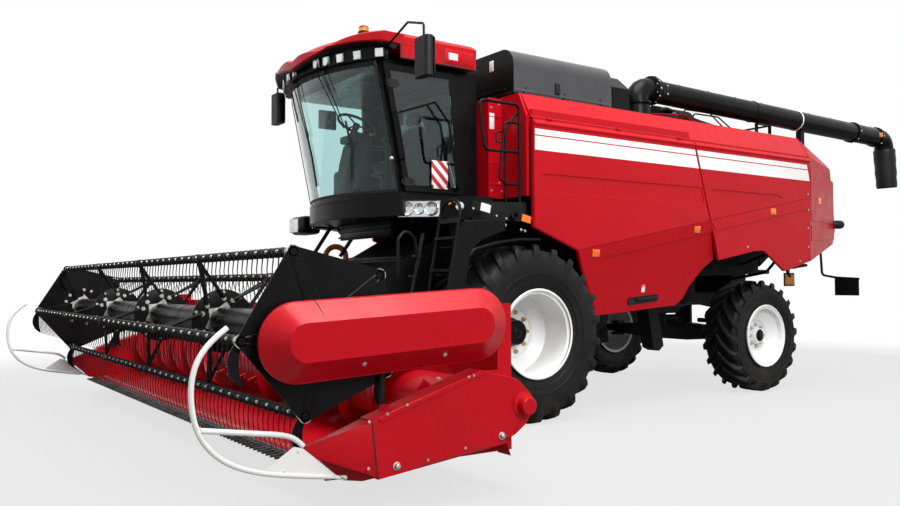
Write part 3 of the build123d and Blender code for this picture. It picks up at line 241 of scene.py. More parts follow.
add_finish(coated, "brass_zinc", (0.62, 0.48, 0.20), (0.45, 0.34, 0.16), (0.3, 0.45), 0.1, 200.0, patch=14.0,
           metallic=0.9)
add_finish(coated, "engine_iron", (0.18, 0.18, 0.18), (0.10, 0.09, 0.085), (0.4, 0.6), 0.3, 60.0, patch=6.0,
           metallic=0.4)
add_finish(glassy, "amber_lens", (1.0, 0.34, 0.02), 0.12, 0.5, 160.0)
add_finish(coated, "orange_plastic", (0.90, 0.20, 0.01), (0.75, 0.15, 0.01), (0.2, 0.35), 0.3, 300.0, coat=0.4)
add_finish(coated, "red_lens", (0.55, 0.01, 0.01), (0.42, 0.01, 0.01), (0.12, 0.25), 0.3, 300.0, coat=0.6)
add_finish(coated, "lamp_bowl", (0.86, 0.87, 0.88), (0.70, 0.71, 0.72), (0.08, 0.2), 0.5, 30.0, metallic=0.95)
add_finish(coated, "rubber_seal", (0.008, 0.008, 0.008), (0.014, 0.014, 0.014), (0.6, 0.8), 0.1, 150.0)
add_finish(coated, "mirror_glass", (0.80, 0.82, 0.83), (0.76, 0.78, 0.79), (0.02, 0.05), 0.0, metallic=1.0)
add_finish(coated, "amber_paint", (0.58, 0.20, 0.02), (0.42, 0.13, 0.02), (0.4, 0.6), 0.1, 120.0)
add_finish(striped_board, "warning_bands", (0.80, 0.80, 0.78), (0.45, 0.02, 0.03), 0.062)

slot_of_node = {row["node"]: row["material_slot"] for row in frame["record"]["subparts"]}
# The tank covers take the painted-light grey of their lit tops; the feeder house takes matt black.
own_finish = {"tank_cover_left": "cover_grey", "tank_cover_right": "cover_grey", "feeder_house": "matt_black"}
for node, obj in frame["nodes"].items():
    for slot in obj.material_slots:
        slot.material = FINISH[own_finish.get(node, slot_of_node[node])]


# ---------------------------------------------------------------- meshes from code
def soft_edges(mesh, angle=32.0):
    """Smooth faces that meet sharply past the angle."""
    mesh.shade_smooth()
    mesh.set_sharp_from_angle(angle=math.radians(angle))


def as_piece(name, mesh, body, finish):
    """A finished piece: its mesh in place, riding on its body, with its finish."""
    obj = in_scene(name, mesh)
    mesh.materials.clear()
    mesh.materials.append(FINISH[finish])
    soft_edges(mesh)
    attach(obj, body)
    return obj


def in_scene(name, data):
    """A new object of this mesh, curve, camera or lamp."""
    obj = bpy.data.objects.new(name, data)
    bpy.context.scene.collection.objects.link(obj)
    return obj


def plain_mesh(obj):
    """The object's evaluated shape as a plain mesh; the object goes."""
    bpy.context.view_layer.update()
    mesh = bpy.data.meshes.new_from_object(obj.evaluated_get(bpy.context.evaluated_depsgraph_get()))
    obj.modifiers.clear()
    bpy.data.objects.remove(obj)
    return mesh


def lofted(rows, around=False):
    """Skin over rows of points: its two ends closed, or its last row joined round to the first."""
    part = bmesh.new()
    rings = [[part.verts.new(p) for p in row] for row in rows]
    pairs = list(zip(rings, rings[1:]))
    if around:
        pairs.append((rings[-1], rings[0]))
    count = len(rings[0])
    for a, b in pairs:
        for k in range(count):
            n = (k + 1) % count
            part.faces.new((a[k], a[n], b[n], b[k]))
    if not around:
        part.faces.new(rings[0][::-1])
        part.faces.new(rings[-1])
    bmesh.ops.recalc_face_normals(part, faces=part.faces)
    return part


def rounded(points, radius, steps=4):
    """A closed outline with its corners rounded."""
    out = []
    count = len(points)
    for k in range(count):
        before, corner, after = (Vector(points[(k + d) % count]) for d in (-1, 0, 1))
        one, two = before - corner, after - corner
        reach = min(radius / math.tan(one.angle(two) / 2), one.length / 2, two.length / 2)
        a, b = corner + one.normalized() * reach, corner + two.normalized() * reach
        for i in range(steps + 1):
            t = i / steps
            out.append(tuple(a * (1 - t) ** 2 + corner * 2 * t * (1 - t) + b * t ** 2))
    return out


def pressed_sheet(outlines, lift, edge):
    """Sheet metal on the XY plane, +Z out: the first outline less the others, all rims rounded."""
    curve = bpy.data.curves.new("sheet", "CURVE")
    curve.dimensions = "2D"
    curve.fill_mode = "BOTH"
    curve.extrude = max(lift / 2 - edge, 0)
    curve.bevel_depth = edge
    curve.bevel_resolution = 1
    for points in outlines:
        spline = curve.splines.new("POLY")
        spline.points.add(len(points) - 1)
        for point, place in zip(spline.points, points):
            point.co = (place[0], place[1], 0, 1)
        spline.use_cyclic_u = True
    return plain_mesh(in_scene("sheet", curve))


SIDE = Matrix(((0, 0, 1, 0), (1, 0, 0, 0), (0, 1, 0, 0), (0, 0, 0, 1)))


def side_sheet(outlines, x, lift, edge=0.003, turn=None):
    """A pressed sheet on the left side: outlines of (y, z), its back at x."""
    mesh = pressed_sheet([[(y + AXLE_Y, z) for y, z in points] for points in outlines], lift, edge)
    mesh.transform(Matrix.Translation((x + lift / 2, 0, 0)) @ SIDE)
    if turn is not None:
        mesh.transform(turn)
    return mesh


class Shape:
    """Shapes of one body and one finish, gathered into one mesh."""

    def __init__(self):
        self.bm = bmesh.new()

    def merge(self, part, matrix=None):
        """Takes in a loose shape, which is used up."""
        mesh = bpy.data.meshes.new("part")
        part.to_mesh(mesh)
        if matrix is not None:
            mesh.transform(matrix)
        self.bm.from_mesh(mesh)
        bpy.data.meshes.remove(mesh)
        part.free()
        return self

    def block(self, low, high, edge=0.004, matrix=None):
        """A block with rounded edges."""
        low, high = Vector(low), Vector(high)
        part = bmesh.new()
        bmesh.ops.create_cube(part, size=1.0)
        size = high - low
        bmesh.ops.scale(part, vec=size, verts=part.verts)
        bmesh.ops.translate(part, vec=(low + high) / 2, verts=part.verts)
        edge = min(edge, min(size) * 0.3)
        bmesh.ops.bevel(part, geom=part.edges[:], offset=edge, segments=2, profile=0.5, affect="EDGES")
        return self.merge(part, matrix)

    def plate(self, corners, push, edge=0.002):
        """A flat outline of points in space, pushed along a vector, with rounded edges."""
        part = bmesh.new()
        face = part.faces.new([part.verts.new(Vector(c)) for c in corners])
        made = bmesh.ops.extrude_face_region(part, geom=[face])
        moved = [v for v in made["geom"] if isinstance(v, bmesh.types.BMVert)]
        bmesh.ops.translate(part, vec=Vector(push), verts=moved)
        bmesh.ops.recalc_face_normals(part, faces=part.faces)
        if edge:
            sharp = [e for e in part.edges if len(e.link_faces) == 2 and e.calc_face_angle(0) > 0.6]
            bmesh.ops.bevel(part, geom=sharp, offset=edge, segments=1, profile=0.5, affect="EDGES",
                            clamp_overlap=True)
        return self.merge(part)

    def turned(self, profile, centre, axis="X", sides=32, closed=False):
        """A turned shape: (distance along the axis, radius) pairs; closed joins the last pair to the first."""
        if isinstance(axis, str):
            turn = {"X": Matrix(((0, 0, 1), (1, 0, 0), (0, 1, 0))), "Y": Matrix(((0, 1, 0), (0, 0, 1), (1, 0, 0))),
                    "Z": Matrix.Identity(3)}[axis]
        else:
            turn = Vector(axis).to_track_quat("Z", "Y").to_matrix()
        angles = [2 * math.pi * k / sides for k in range(sides)]
        part = lofted([[turn @ Vector((radius * math.cos(a), radius * math.sin(a), along)) + Vector(centre)
                        for a in angles] for along, radius in profile], closed)
        bmesh.ops.remove_doubles(part, verts=part.verts, dist=1e-6)
        bmesh.ops.recalc_face_normals(part, faces=part.faces)
        return self.merge(part)

    def bolt(self, centre, axis, radius=0.012, height=0.010):
        """A hexagon head on its washer."""
        part = Vector(axis).normalized()
        self.turned([(0, radius * 1.5), (height * 0.25, radius * 1.5), (height * 0.25, radius), (height, radius)],
                    centre, part, 6)
        return self

    def mirrored(self):
        """The same shapes again on the other side of the machine."""
        other = self.bm.copy()
        bmesh.ops.scale(other, vec=(-1, 1, 1), verts=other.verts)
        bmesh.ops.reverse_faces(other, faces=other.faces)
        return self.merge(other)

    def mesh(self, name):
        """The whole as one mesh; the Shape is used up."""
        mesh = bpy.data.meshes.new(name)
        bmesh.ops.recalc_face_normals(self.bm, faces=self.bm.faces)
        self.bm.to_mesh(mesh)
        self.bm.free()
        return mesh

    def piece(self, name, body, finish, slot=None):
        """The whole as a finished piece."""
        return as_piece(name, self.mesh(name), body, finish)


# ---------------------------------------------------------------- Geometry Nodes: copies and pipes
def new_tree(name, inputs):
    """An empty tree with its named inputs, and its first and last node."""
    tree = bpy.data.node_groups.new(name, "GeometryNodeTree")
    tree.interface.new_socket(name="Geometry", in_out="OUTPUT", socket_type="NodeSocketGeometry")
    tree.interface.new_socket(name="Geometry", in_out="INPUT", socket_type="NodeSocketGeometry")
    for label, kind in inputs:
        tree.interface.new_socket(name=label, in_out="INPUT", socket_type="NodeSocket" + kind)
    return tree, tree.nodes.new("NodeGroupInput"), tree.nodes.new("NodeGroupOutput")


def times_index(tree, vector):
    """Index times a vector, for whatever grows from copy to copy."""
    index = tree.nodes.new("GeometryNodeInputIndex")
    scale = tree.nodes.new("ShaderNodeVectorMath")
    scale.operation = "SCALE"
    tree.links.new(vector, scale.inputs[0])
    tree.links.new(index.outputs[0], scale.inputs["Scale"])
    return scale.outputs[0]


def finished(tree, given, shape, out):
    """The end of a tree: instances made real, then the finish."""
    real = tree.nodes.new("GeometryNodeRealizeInstances")
    paint = tree.nodes.new("GeometryNodeSetMaterial")
    tree.links.new(shape, real.inputs["Geometry"])
    tree.links.new(real.outputs["Geometry"], paint.inputs["Geometry"])
    tree.links.new(given.outputs["Finish"], paint.inputs["Material"])
    tree.links.new(paint.outputs["Geometry"], out.inputs["Geometry"])
    return tree


def copies_tree():
    """Copies of a shape: each is moved a step further and turned further about a centre than the last."""
    tree, given, out = new_tree("even_copies", [("Shape", "Object"), ("Count", "Int"), ("Step", "Vector"),
                                                ("Turn", "Vector"), ("Centre", "Vector"), ("Finish", "Material")])
    line = tree.nodes.new("GeometryNodeMeshLine")
    line.mode = "OFFSET"
    line.inputs["Offset"].default_value = (0, 0, 0)
    shape = tree.nodes.new("GeometryNodeObjectInfo")
    on_points = tree.nodes.new("GeometryNodeInstanceOnPoints")
    move = tree.nodes.new("GeometryNodeTranslateInstances")
    move.inputs["Local Space"].default_value = False
    turn = tree.nodes.new("GeometryNodeRotateInstances")
    turn.inputs["Local Space"].default_value = False
    link = tree.links.new
    link(given.outputs["Count"], line.inputs["Count"])
    link(given.outputs["Shape"], shape.inputs["Object"])
    link(line.outputs["Mesh"], on_points.inputs["Points"])
    link(shape.outputs["Geometry"], on_points.inputs["Instance"])
    link(on_points.outputs["Instances"], move.inputs["Instances"])
    link(times_index(tree, given.outputs["Step"]), move.inputs["Translation"])
    link(move.outputs["Instances"], turn.inputs["Instances"])
    link(times_index(tree, given.outputs["Turn"]), turn.inputs["Rotation"])
    link(given.outputs["Centre"], turn.inputs["Pivot Point"])
    return finished(tree, given, turn.outputs["Instances"], out)


def pipes_tree():
    """Round pipes along runs of edges, with every corner bent."""
    tree, given, out = new_tree("bent_pipes", [("Radius", "Float"), ("Bend", "Float"), ("Sides", "Int"),
                                               ("Finish", "Material")])
    to_curve = tree.nodes.new("GeometryNodeMeshToCurve")
    fillet = tree.nodes.new("GeometryNodeFilletCurve")
    fillet.mode = "POLY"
    fillet.inputs["Count"].default_value = 5
    fillet.inputs["Limit Radius"].default_value = True
    circle = tree.nodes.new("GeometryNodeCurvePrimitiveCircle")
    sweep = tree.nodes.new("GeometryNodeCurveToMesh")
    sweep.inputs["Fill Caps"].default_value = True
    link = tree.links.new
    link(given.outputs["Geometry"], to_curve.inputs["Mesh"])
    link(to_curve.outputs["Curve"], fillet.inputs["Curve"])
    link(given.outputs["Bend"], fillet.inputs["Radius"])
    link(given.outputs["Radius"], circle.inputs["Radius"])
    link(given.outputs["Sides"], circle.inputs["Resolution"])
    link(fillet.outputs["Curve"], sweep.inputs["Curve"])
    link(circle.outputs["Curve"], sweep.inputs["Profile Curve"])
    return finished(tree, given, sweep.outputs["Mesh"], out)


COPIES = copies_tree()
PIPES = pipes_tree()


def run_tree(tree, mesh, values):
    """Runs a tree on a mesh and returns the result as a plain mesh."""
    host = in_scene("host", mesh)
    modifier = host.modifiers.new("made", "NODES")
    modifier.node_group = tree
    for item in tree.interface.items_tree:
        if item.in_out == "INPUT" and item.name in values:
            modifier[item.identifier] = values[item.name]
    return plain_mesh(host)


def copies(shape, count, step=(0, 0, 0), turn=(0, 0, 0), centre=(0, 0, 0), finish="zinc"):
    """A mesh of even copies of a Shape or a mesh."""
    mesh = shape.mesh("shape") if isinstance(shape, Shape) else shape
    source = in_scene("source", mesh)
    made = run_tree(COPIES, bpy.data.meshes.new("empty"), {
        "Shape": source, "Count": count, "Step": tuple(step), "Turn": tuple(turn), "Centre": tuple(centre),
        "Finish": FINISH[finish]})
    bpy.data.objects.remove(source)
    return made


def pipes(runs, radius, bend=0.03, sides=12, finish="black_paint"):
    """A mesh of bent pipes along lists of points."""
    points, edges = [], []
    for run in runs:
        edges += [(len(points) + i, len(points) + i + 1) for i in range(len(run) - 1)]
        points += [tuple(p) for p in run]
    mesh = bpy.data.meshes.new("runs")
    mesh.from_pydata(points, edges, [])
    return run_tree(PIPES, mesh, {"Radius": radius, "Bend": bend, "Sides": sides, "Finish": FINISH[finish]})


def pipe_piece(name, runs, radius, bend, sides, finish, body="machine"):
    """Bent pipes along lists of points, as a finished piece."""
    return as_piece(name, pipes(runs, radius, bend, sides, finish), body, finish)


def joined(meshes):
    """Several meshes as one."""
    whole = bmesh.new()
    for mesh in meshes:
        whole.from_mesh(mesh)
    out = bpy.data.meshes.new("joined")
    whole.to_mesh(out)
    whole.free()
    return out


def flipped(mesh):
    """A mesh's mirror image on the machine's other side."""
    other = mesh.copy()
    other.transform(Matrix.Scale(-1, 4, (1, 0, 0)))
    other.flip_normals()
    return other


# ---------------------------------------------------------------- tyres
RIM_LIP = {"front": 0.432, "rear": 0.380}


def bar_lug(radius, base, half, side):
    """One slanting tread bar from the middle of the tread over its shoulder, at the top of the wheel."""
    deep = 0.03
    # share of the half width, width of the bar, how far it trails
    rows = [(-0.02, 0.062, 0.0), (0.35, 0.048, 0.11), (0.72, 0.052, 0.21), (0.93, 0.060, 0.26)]

    def section(share, lag, corners):
        """Corners of a cross-section, at a share of the half width."""
        return [(side * share * half, -r * math.sin(lag / radius + w / r), r * math.cos(lag / radius + w / r))
                for r, w in corners]

    sections = []
    for share, width, lag in rows:
        top = radius - 0.003 if share < 0.9 else radius - 0.022
        foot = base - deep if share < 0.9 else base - deep - 0.05
        sections.append(section(share, lag, ((foot, width * 0.95), (top, width * 0.55), (top, -width * 0.55),
                                             (foot, -width * 0.95))))
    sections.append(section(0.985, 0.27, ((base - 0.15, 0.045), (base - 0.03, 0.042), (base - 0.03, -0.042),
                                          (base - 0.15, -0.045))))
    part = lofted(sections)
    edges = [e for e in part.edges if e.calc_length() > 0.02 and e.calc_face_angle(0) > 0.5]
    bmesh.ops.bevel(part, geom=edges, offset=0.006, segments=2, profile=0.6, affect="EDGES", clamp_overlap=True)
    return Shape().merge(part)


def make_tyre(end, hand, lugs):
    """Carcass with ribbed walls, tread bars in two slanting rows."""
    node = "%s_tyre_%s" % (end, hand)
    low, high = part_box(node)
    centre = (low + high) / 2
    radius = (high.z - low.z) / 2
    half = (high.x - low.x) / 2
    lip, base = RIM_LIP[end], radius - 0.052
    # share of the half width, radius: the outside from bead to tread, then the inside
    wall = [(0.80, lip - 0.03), (0.84, lip + 0.004), (0.87, lip + 0.020), (0.885, lip + 0.022), (0.90, lip + 0.045),
            (0.955, lip + 0.10), (0.985, lip + 0.17), (0.992, lip + 0.22), (0.985, base - 0.12),
            (0.96, base - 0.065), (0.91, base - 0.025), (0.80, base - 0.006), (0.4, base)]
    inner = [(0.70, lip - 0.026), (0.86, lip + 0.12), (0.88, base - 0.14), (0.75, base - 0.05)]
    profile = [(a * half, r) for a, r in wall] + [(-a * half, r) for a, r in reversed(wall)]
    profile += [(-a * half, r) for a, r in inner] + [(a * half, r) for a, r in reversed(inner)]
    carcass = Shape().turned(profile, centre, "X", 96, closed=True).mesh("carcass")
    turn = (2 * math.pi / lugs, 0, 0)
    rows = []
    for side in (1, -1):
        lug = bar_lug(radius, base, half, side).mesh("lug")
        lug.transform(Matrix.Rotation(math.pi / lugs if side < 0 else 0, 4, "X"))
        lug.transform(Matrix.Translation(centre))
        rows.append(copies(lug, lugs, turn=turn, centre=centre, finish="tyre_rubber"))
    rib = Shape().turned([(0.975 * half, lip + 0.155), (0.997 * half, lip + 0.160), (0.997 * half, lip + 0.170),
                          (0.975 * half, lip + 0.175)], centre, "X", 96, closed=True)
    rib.turned([(0.945 * half, lip + 0.085), (0.965 * half, lip + 0.092), (0.97 * half, lip + 0.100),
                (0.95 * half, lip + 0.105)], centre, "X", 96, closed=True)
    ribs = rib.mesh("ribs")
    other = ribs.copy()
    other.transform(Matrix.Translation(centre) @ Matrix.Scale(-1, 4, (1, 0, 0)) @ Matrix.Translation(-centre))
    other.flip_normals()
    body = "%s_wheel_%s" % (end, hand)
    tyre = as_piece(node + "_tread", joined([carcass, ribs, other] + rows), body, "tyre_rubber")
    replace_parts(tyre, node)


for end, lugs in (("front", 22), ("rear", 20)):
    for hand in ("left", "right"):
        make_tyre(end, hand, lugs)


# ---------------------------------------------------------------- wheels: nuts, hubs and rim details
# radius of the stud circle, studs, X of the disc's face, half the rim's width, hub's radius, X of its end, nuts
WHEELS = {"front": (0.212, 10, 1.282, 0.3875, 0.125, 1.40, "brass_zinc"),
          "rear": (0.1375, 8, 1.372, 0.240, 0.085, 1.44, "zinc")}


def make_wheel_details(end, hand):
    """Nuts on the studs, a hub cover with its end cap, the valve and the beads of the rim."""
    ring, count, disc_x, half, hub_r, hub_x, plating = WHEELS[end]
    body, lip_r = "%s_wheel_%s" % (end, hand), RIM_LIP[end]
    axle = joint_place(body + "_spin")
    side = 1 if axle.x > 0 else -1
    out = Vector((side, 0, 0))
    disc = Vector((side * disc_x, axle.y, axle.z))
    nut = Shape()
    nut.turned([(0, 0.026), (0.005, 0.026), (0.005, 0.021), (0.009, 0.0195), (0.012, 0.0195)],
               disc + Vector((0, ring, 0)), out, 20)
    nut.turned([(0.010, 0.0185), (0.030, 0.0185), (0.033, 0.0155)], disc + Vector((0, ring, 0)), out, 6)
    nut.turned([(0.031, 0.0135), (0.040, 0.0135), (0.042, 0.0115)], disc + Vector((0, ring, 0)), out, 10)
    mesh = copies(nut.mesh("nut"), count, turn=(2 * math.pi / count, 0, 0), centre=disc, finish=plating)
    as_piece(body + "_nuts", mesh, body, plating)
    hub = Shape()
    length = hub_x - disc_x
    hub.turned([(0.001, hub_r + 0.022), (0.007, hub_r + 0.022), (0.011, hub_r + 0.004),
                (length - 0.01, hub_r + 0.002), (length + 0.002, hub_r - 0.010), (length + 0.003, 0.0)],
               disc, out, 40)
    hub.turned([(-0.004, 0.047), (0.010, 0.050), (0.016, 0.040), (0.018, 0.0)],
               Vector((side * hub_x, axle.y, axle.z)), out, 28)
    hub.piece(body + "_hub", body, "black_paint")
    rim = Shape()
    outer = abs(axle.x) + half
    bead = ((-0.012, -0.008), (-0.002, -0.010), (0.003, -0.004), (0.003, 0.008), (-0.004, 0.014), (-0.014, 0.010))
    rim.turned([(side * (outer + u), lip_r + v) for u, v in bead], Vector((0, axle.y, axle.z)), "X", 72, closed=True)
    rim.piece(body + "_rim_lip", body, "wheel_white")
    valve = Shape()
    angle, reach = 2.2, lip_r - 0.06
    spot = disc + Vector((side * 0.03, reach * math.cos(angle), reach * math.sin(angle)))
    valve.turned([(0, 0.010), (0.02, 0.009), (0.022, 0.006), (0.055, 0.006), (0.058, 0.0)], spot, out, 10)
    valve.piece(body + "_valve", body, "black_plastic")


for hand in ("left", "right"):
    for end in ("front", "rear"):
        make_wheel_details(end, hand)


# ---------------------------------------------------------------- reel: tines, clamps, stars and ribs
REEL_HALF = 3.377
BOLT_SPREAD = math.radians(24)
SPIDERS = (-1.65, 0, 1.65)
reel_axis = joint_place("reel_spin")
BATS = [joint_place("reel_bat_%d_spin" % i) - reel_axis for i in range(1, 6)]


def on_reel(x, radius, angle):
    """A point so far from the reel's axis, at x across the machine."""
    return reel_axis + Vector((x, radius * math.cos(angle), radius * math.sin(angle)))


def tine_pair():
    """A coiled clip round a bar with two hanging fingers."""
    shape = Shape()
    for x in (0.0, 0.084):
        shape.turned([(-0.014, 0.023), (-0.010, 0.033), (-0.004, 0.028), (0.002, 0.034), (0.008, 0.028),
                      (0.014, 0.023)], (x, 0, 0), "X", 10)
    rows = [(-0.026, -0.014, 0.0050), (-0.034, -0.10, 0.0038), (-0.026, -0.19, 0.0034), (-0.006, -0.262, 0.0022)]
    for x in (0.0, 0.084):
        shape.merge(lofted([[(x + r * math.cos(a), y + r * math.sin(a), z)
                             for a in (k * math.pi / 2.5 for k in range(5))] for y, z, r in rows]))
    return shape


def make_tines(i):
    """Tines and their screws in a row along one bar."""
    count, pitch = 39, 0.168
    start = joint_place("reel_bat_%d_spin" % i) + Vector((-(count - 1) * pitch / 2 - 0.042, 0, 0))
    screw = Shape().bolt((0.042, -0.021, 0.008), (0, -1, 0.35), 0.0085, 0.010)
    for name, shape, finish in (("tines", tine_pair(), "black_plastic"), ("tine_screws", screw, "zinc")):
        mesh = shape.mesh(name)
        mesh.transform(Matrix.Translation(start))
        as_piece("%s_%d" % (name, i), copies(mesh, count, (pitch, 0, 0), finish=finish), "reel_bat_%d" % i, finish)


for number in range(1, 6):
    make_tines(number)


def star(centre_x, out, inner, points, thickness=0.004):
    """A star-shaped flange round the reel's tube."""
    corners = [on_reel(centre_x, inner if k % 2 else out, math.pi * k / points + 0.35) for k in range(points * 2)]
    return corners, (thickness, 0, 0)


def make_reel_fittings():
    """Collars, screws, stars and ribs of the spiders and the end shields, and their bent braces."""
    zinc, black = Shape(), Shape()
    collar = [(-0.010, 0.0245), (-0.010, 0.0285), (0.010, 0.0285), (0.010, 0.0245)]
    tip_ring = [(-0.006, 0.039), (-0.006, 0.0435), (0.0055, 0.0435), (0.0055, 0.039)]
    tip_cap = ((-0.002, 0.0), (-0.002, 0.039), (0.0045, 0.038), (0.006, 0.030), (0.006, 0.0))
    angles = [math.atan2(bat.z, bat.y) for bat in BATS]
    bolt_angles = [a + turn * BOLT_SPREAD for a in angles for turn in (-1, 1)]
    struts, ridges = [], []
    for bat, angle in zip(BATS, angles):
        for x in [x + side * 0.024 for x in SPIDERS for side in (-1, 1)] + [0.055 - REEL_HALF, REEL_HALF - 0.055]:
            zinc.turned(collar, reel_axis + bat + Vector((x, 0, 0)), "X", 14, closed=True)
        away, across = bat.normalized(), Vector((0, -bat.z, bat.y)).normalized()
        for side in (-1, 1):
            x = side * REEL_HALF
            for reach in (0.62, 0.80, 0.93):
                zinc.bolt(reel_axis + bat * reach + Vector((x - side * 0.001, 0, 0)), (-side, 0, 0), 0.010, 0.009)
            tip = reel_axis + bat + Vector((x + side * 0.002, 0, 0))
            zinc.turned(tip_ring, tip, "X", 28, closed=True)
            black.turned([(side * u, r) for u, r in tip_cap], tip, "X", 28)
            zinc.bolt(tip + Vector((side * 0.001, 0, 0)), (side, 0, 0), 0.006, 0.005)
            for face, rise in ((x + side * 0.008, side * 0.005), (x, -side * 0.022)):
                black.plate([reel_axis + Vector((face, 0, 0)) + away * u + across * v for u, v in (
                    (0.13, 0.055), (0.46, 0.030), (0.475, 0.0), (0.46, -0.030), (0.13, -0.055))], (rise, 0, 0), 0.003)
        for turn in (-1, 1):
            for x in (-1.67, 0, 1.67):
                struts.append([on_reel(x, 0.180, angle + turn * BOLT_SPREAD),
                               reel_axis + Vector((x, 0, 0)) + bat * 0.87])
            for x in (-REEL_HALF - 0.001, REEL_HALF + 0.001):
                ridges.append([on_reel(x, 0.15, angle + turn * math.radians(21)),
                               reel_axis + Vector((x, 0, 0)) + bat * 0.96 + Vector((0, -bat.z,
                                                                                    bat.y)) * 0.035 * turn])
    for x in SPIDERS:
        for side in (-1, 1):
            for a in bolt_angles:
                zinc.bolt(on_reel(x + side * 0.010, 0.173, a), (side, 0, 0), 0.014, 0.012)
            for k in range(10):
                zinc.bolt(on_reel(x + side * 0.007, 0.222, 2 * math.pi * k / 10 + 0.3), (side, 0, 0), 0.009, 0.009)
            zinc.plate(*star(x + side * 0.007, 0.150, 0.108, 6, side * 0.003), 0)
        black.turned([(-0.007, 0.104), (-0.007, 0.238), (-0.005, 0.244), (0.005, 0.244), (0.007, 0.238),
                      (0.007, 0.104)], reel_axis + Vector((x, 0, 0)), "X", 48, closed=True)
    for side in (-1, 1):
        zinc.plate(*star(side * REEL_HALF, 0.170, 0.115, 5, -side * 0.003), 0)
        for a in bolt_angles:
            zinc.bolt(on_reel(side * REEL_HALF, 0.215, a), (-side, 0, 0), 0.013, 0.010)
    for k in range(4):
        black.turned([(-0.02, 0.1045), (-0.02, 0.1075), (0.02, 0.1075), (0.02, 0.1045)],
                     reel_axis + Vector((-2.475 + 1.65 * k, 0, 0)), "X", 40, closed=True)
    pipe_piece("shield_ridges", ridges, 0.011, 0.005, 8, "black_paint", "reel")
    pipe_piece("reel_struts", struts, 0.014, 0.005, 10, "black_paint", "reel")
    zinc.piece("reel_bolts", "reel", "zinc")
    black.piece("reel_ribs", "reel", "black_paint")


make_reel_fittings()


# ---------------------------------------------------------------- header: hoops, shields, cover, pan, auger
def smooth_run(points, count):
    """Evenly spread points along a smooth curve through control points."""
    curve = bpy.data.curves.new("run", "CURVE")
    curve.dimensions = "3D"
    spline = curve.splines.new("NURBS")
    spline.points.add(len(points) - 1)
    for point, place in zip(spline.points, points):
        point.co = tuple(place) + (1,)
    spline.order_u = 4
    spline.use_endpoint_u = True
    spline.resolution_u = max(2, count // (len(points) - 1))
    return [v.co.copy() for v in plain_mesh(in_scene("run", curve)).vertices]


def make_hoops():
    """Crop hoops bent in one sweep, flattened at the free end, each with its brace and its nose plate."""
    x = 3.49
    sweep = [(-3.785, 1.150), (-3.905, 1.065), (-3.985, 0.93), (-3.985, 0.74), (-3.95, 0.58), (-3.84, 0.44),
             (-3.66, 0.345), (-3.45, 0.30), (-3.15, 0.255)]
    brace = [(-3.930, 0.603), (-3.60, 0.552), (-3.43, 0.533), (-3.375, 0.50), (-3.330, 0.455)]
    runs = [smooth_run([at(x, y, z) for y, z in line], 40) for line in (sweep, brace)]
    tubes = joined([pipes([run], 0.016, 0.01, 12, "white_paint") for run in runs])
    shape = Shape()
    plate = [(-3.389, 0.456), (-3.334, 0.443), (-3.120, 0.262), (-3.045, 0.226), (-3.40, 0.292), (-3.556, 0.350)]
    shape.plate([at(x - 0.003, y, z) for y, z in plate], (0.006, 0, 0), 0.001)
    shape.block(at(3.455, -3.09, 0.226), at(3.493, -3.045, 0.250), 0.003)
    for y, z in ((-3.36, 0.43), (-3.45, 0.325), (-3.16, 0.262)):
        shape.bolt(at(x + 0.003, y, z), (1, 0, 0), 0.008, 0.008)
    left = joined([tubes, shape.mesh("plate")])
    hoops = as_piece("smooth_divider_hoops", joined([left, flipped(left)]), "header", "white_paint")
    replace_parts(hoops, "divider_hoops")


make_hoops()


def make_shield_details():
    """Folds, seams, catches and screws of both knife drive covers."""
    red, zinc, dark = Shape(), Shape(), Shape()
    face = 3.61
    fold = [(-2.905, 0.590), (-2.127, 0.826), (-2.05, 0.803), (-2.13, 0.790), (-2.885, 0.562)]
    red.plate([at(face - 0.004, y, z) for y, z in fold], (0.010, 0, 0), 0.003)
    rim = [(-1.76, 0.675), (-1.71, 0.597), (-1.755, 0.482), (-1.775, 0.494), (-1.735, 0.597), (-1.775, 0.66)]
    red.plate([at(face - 0.004, y, z) for y, z in rim], (0.008, 0, 0), 0.003)
    dark.plate([at(face - 0.002, y, z) for y, z in ((-2.943, 0.565), (-2.935, 0.565), (-2.899, 0.243),
                                                    (-2.907, 0.243))], (0.0035, 0, 0), 0)
    dark.plate([at(face - 0.002, y, z) for y, z in ((-2.62, 0.262), (-2.05, 0.33), (-2.05, 0.325), (-2.62, 0.256))],
               (0.003, 0, 0), 0)
    for y, z in ((-2.774, 0.290), (-1.965, 0.385)):
        zinc.turned([(0, 0.026), (0.004, 0.026), (0.006, 0.019), (0.022, 0.017), (0.027, 0.011)],
                    at(face, y, z), "X", 20)
        zinc.block(at(face + 0.026, y - 0.014, z - 0.003), at(face + 0.029, y + 0.014, z + 0.003), 0.001)
    for y, z in ((-2.964, 0.575), (-2.84, 0.607), (-2.70, 0.649), (-2.235, 0.788), (-2.195, 0.795), (-2.969, 0.300),
                 (-2.263, 0.340), (-2.55, 0.300)):
        zinc.bolt(at(face + 0.004, y, z), (1, 0, 0), 0.007, 0.006)
    red.turned([(0.0, 0.090), (0.006, 0.088), (0.012, 0.066), (0.062, 0.060), (0.068, 0.052), (0.069, 0.0)],
               at(face, -1.775, 0.57), "X", 40)
    for shape, name, finish in ((red, "shield_folds", "red_paint"), (zinc, "shield_catches", "zinc"),
                                (dark, "shield_seams", "rubber_seal")):
        shape.mirrored().piece(name, "header", finish)


make_shield_details()


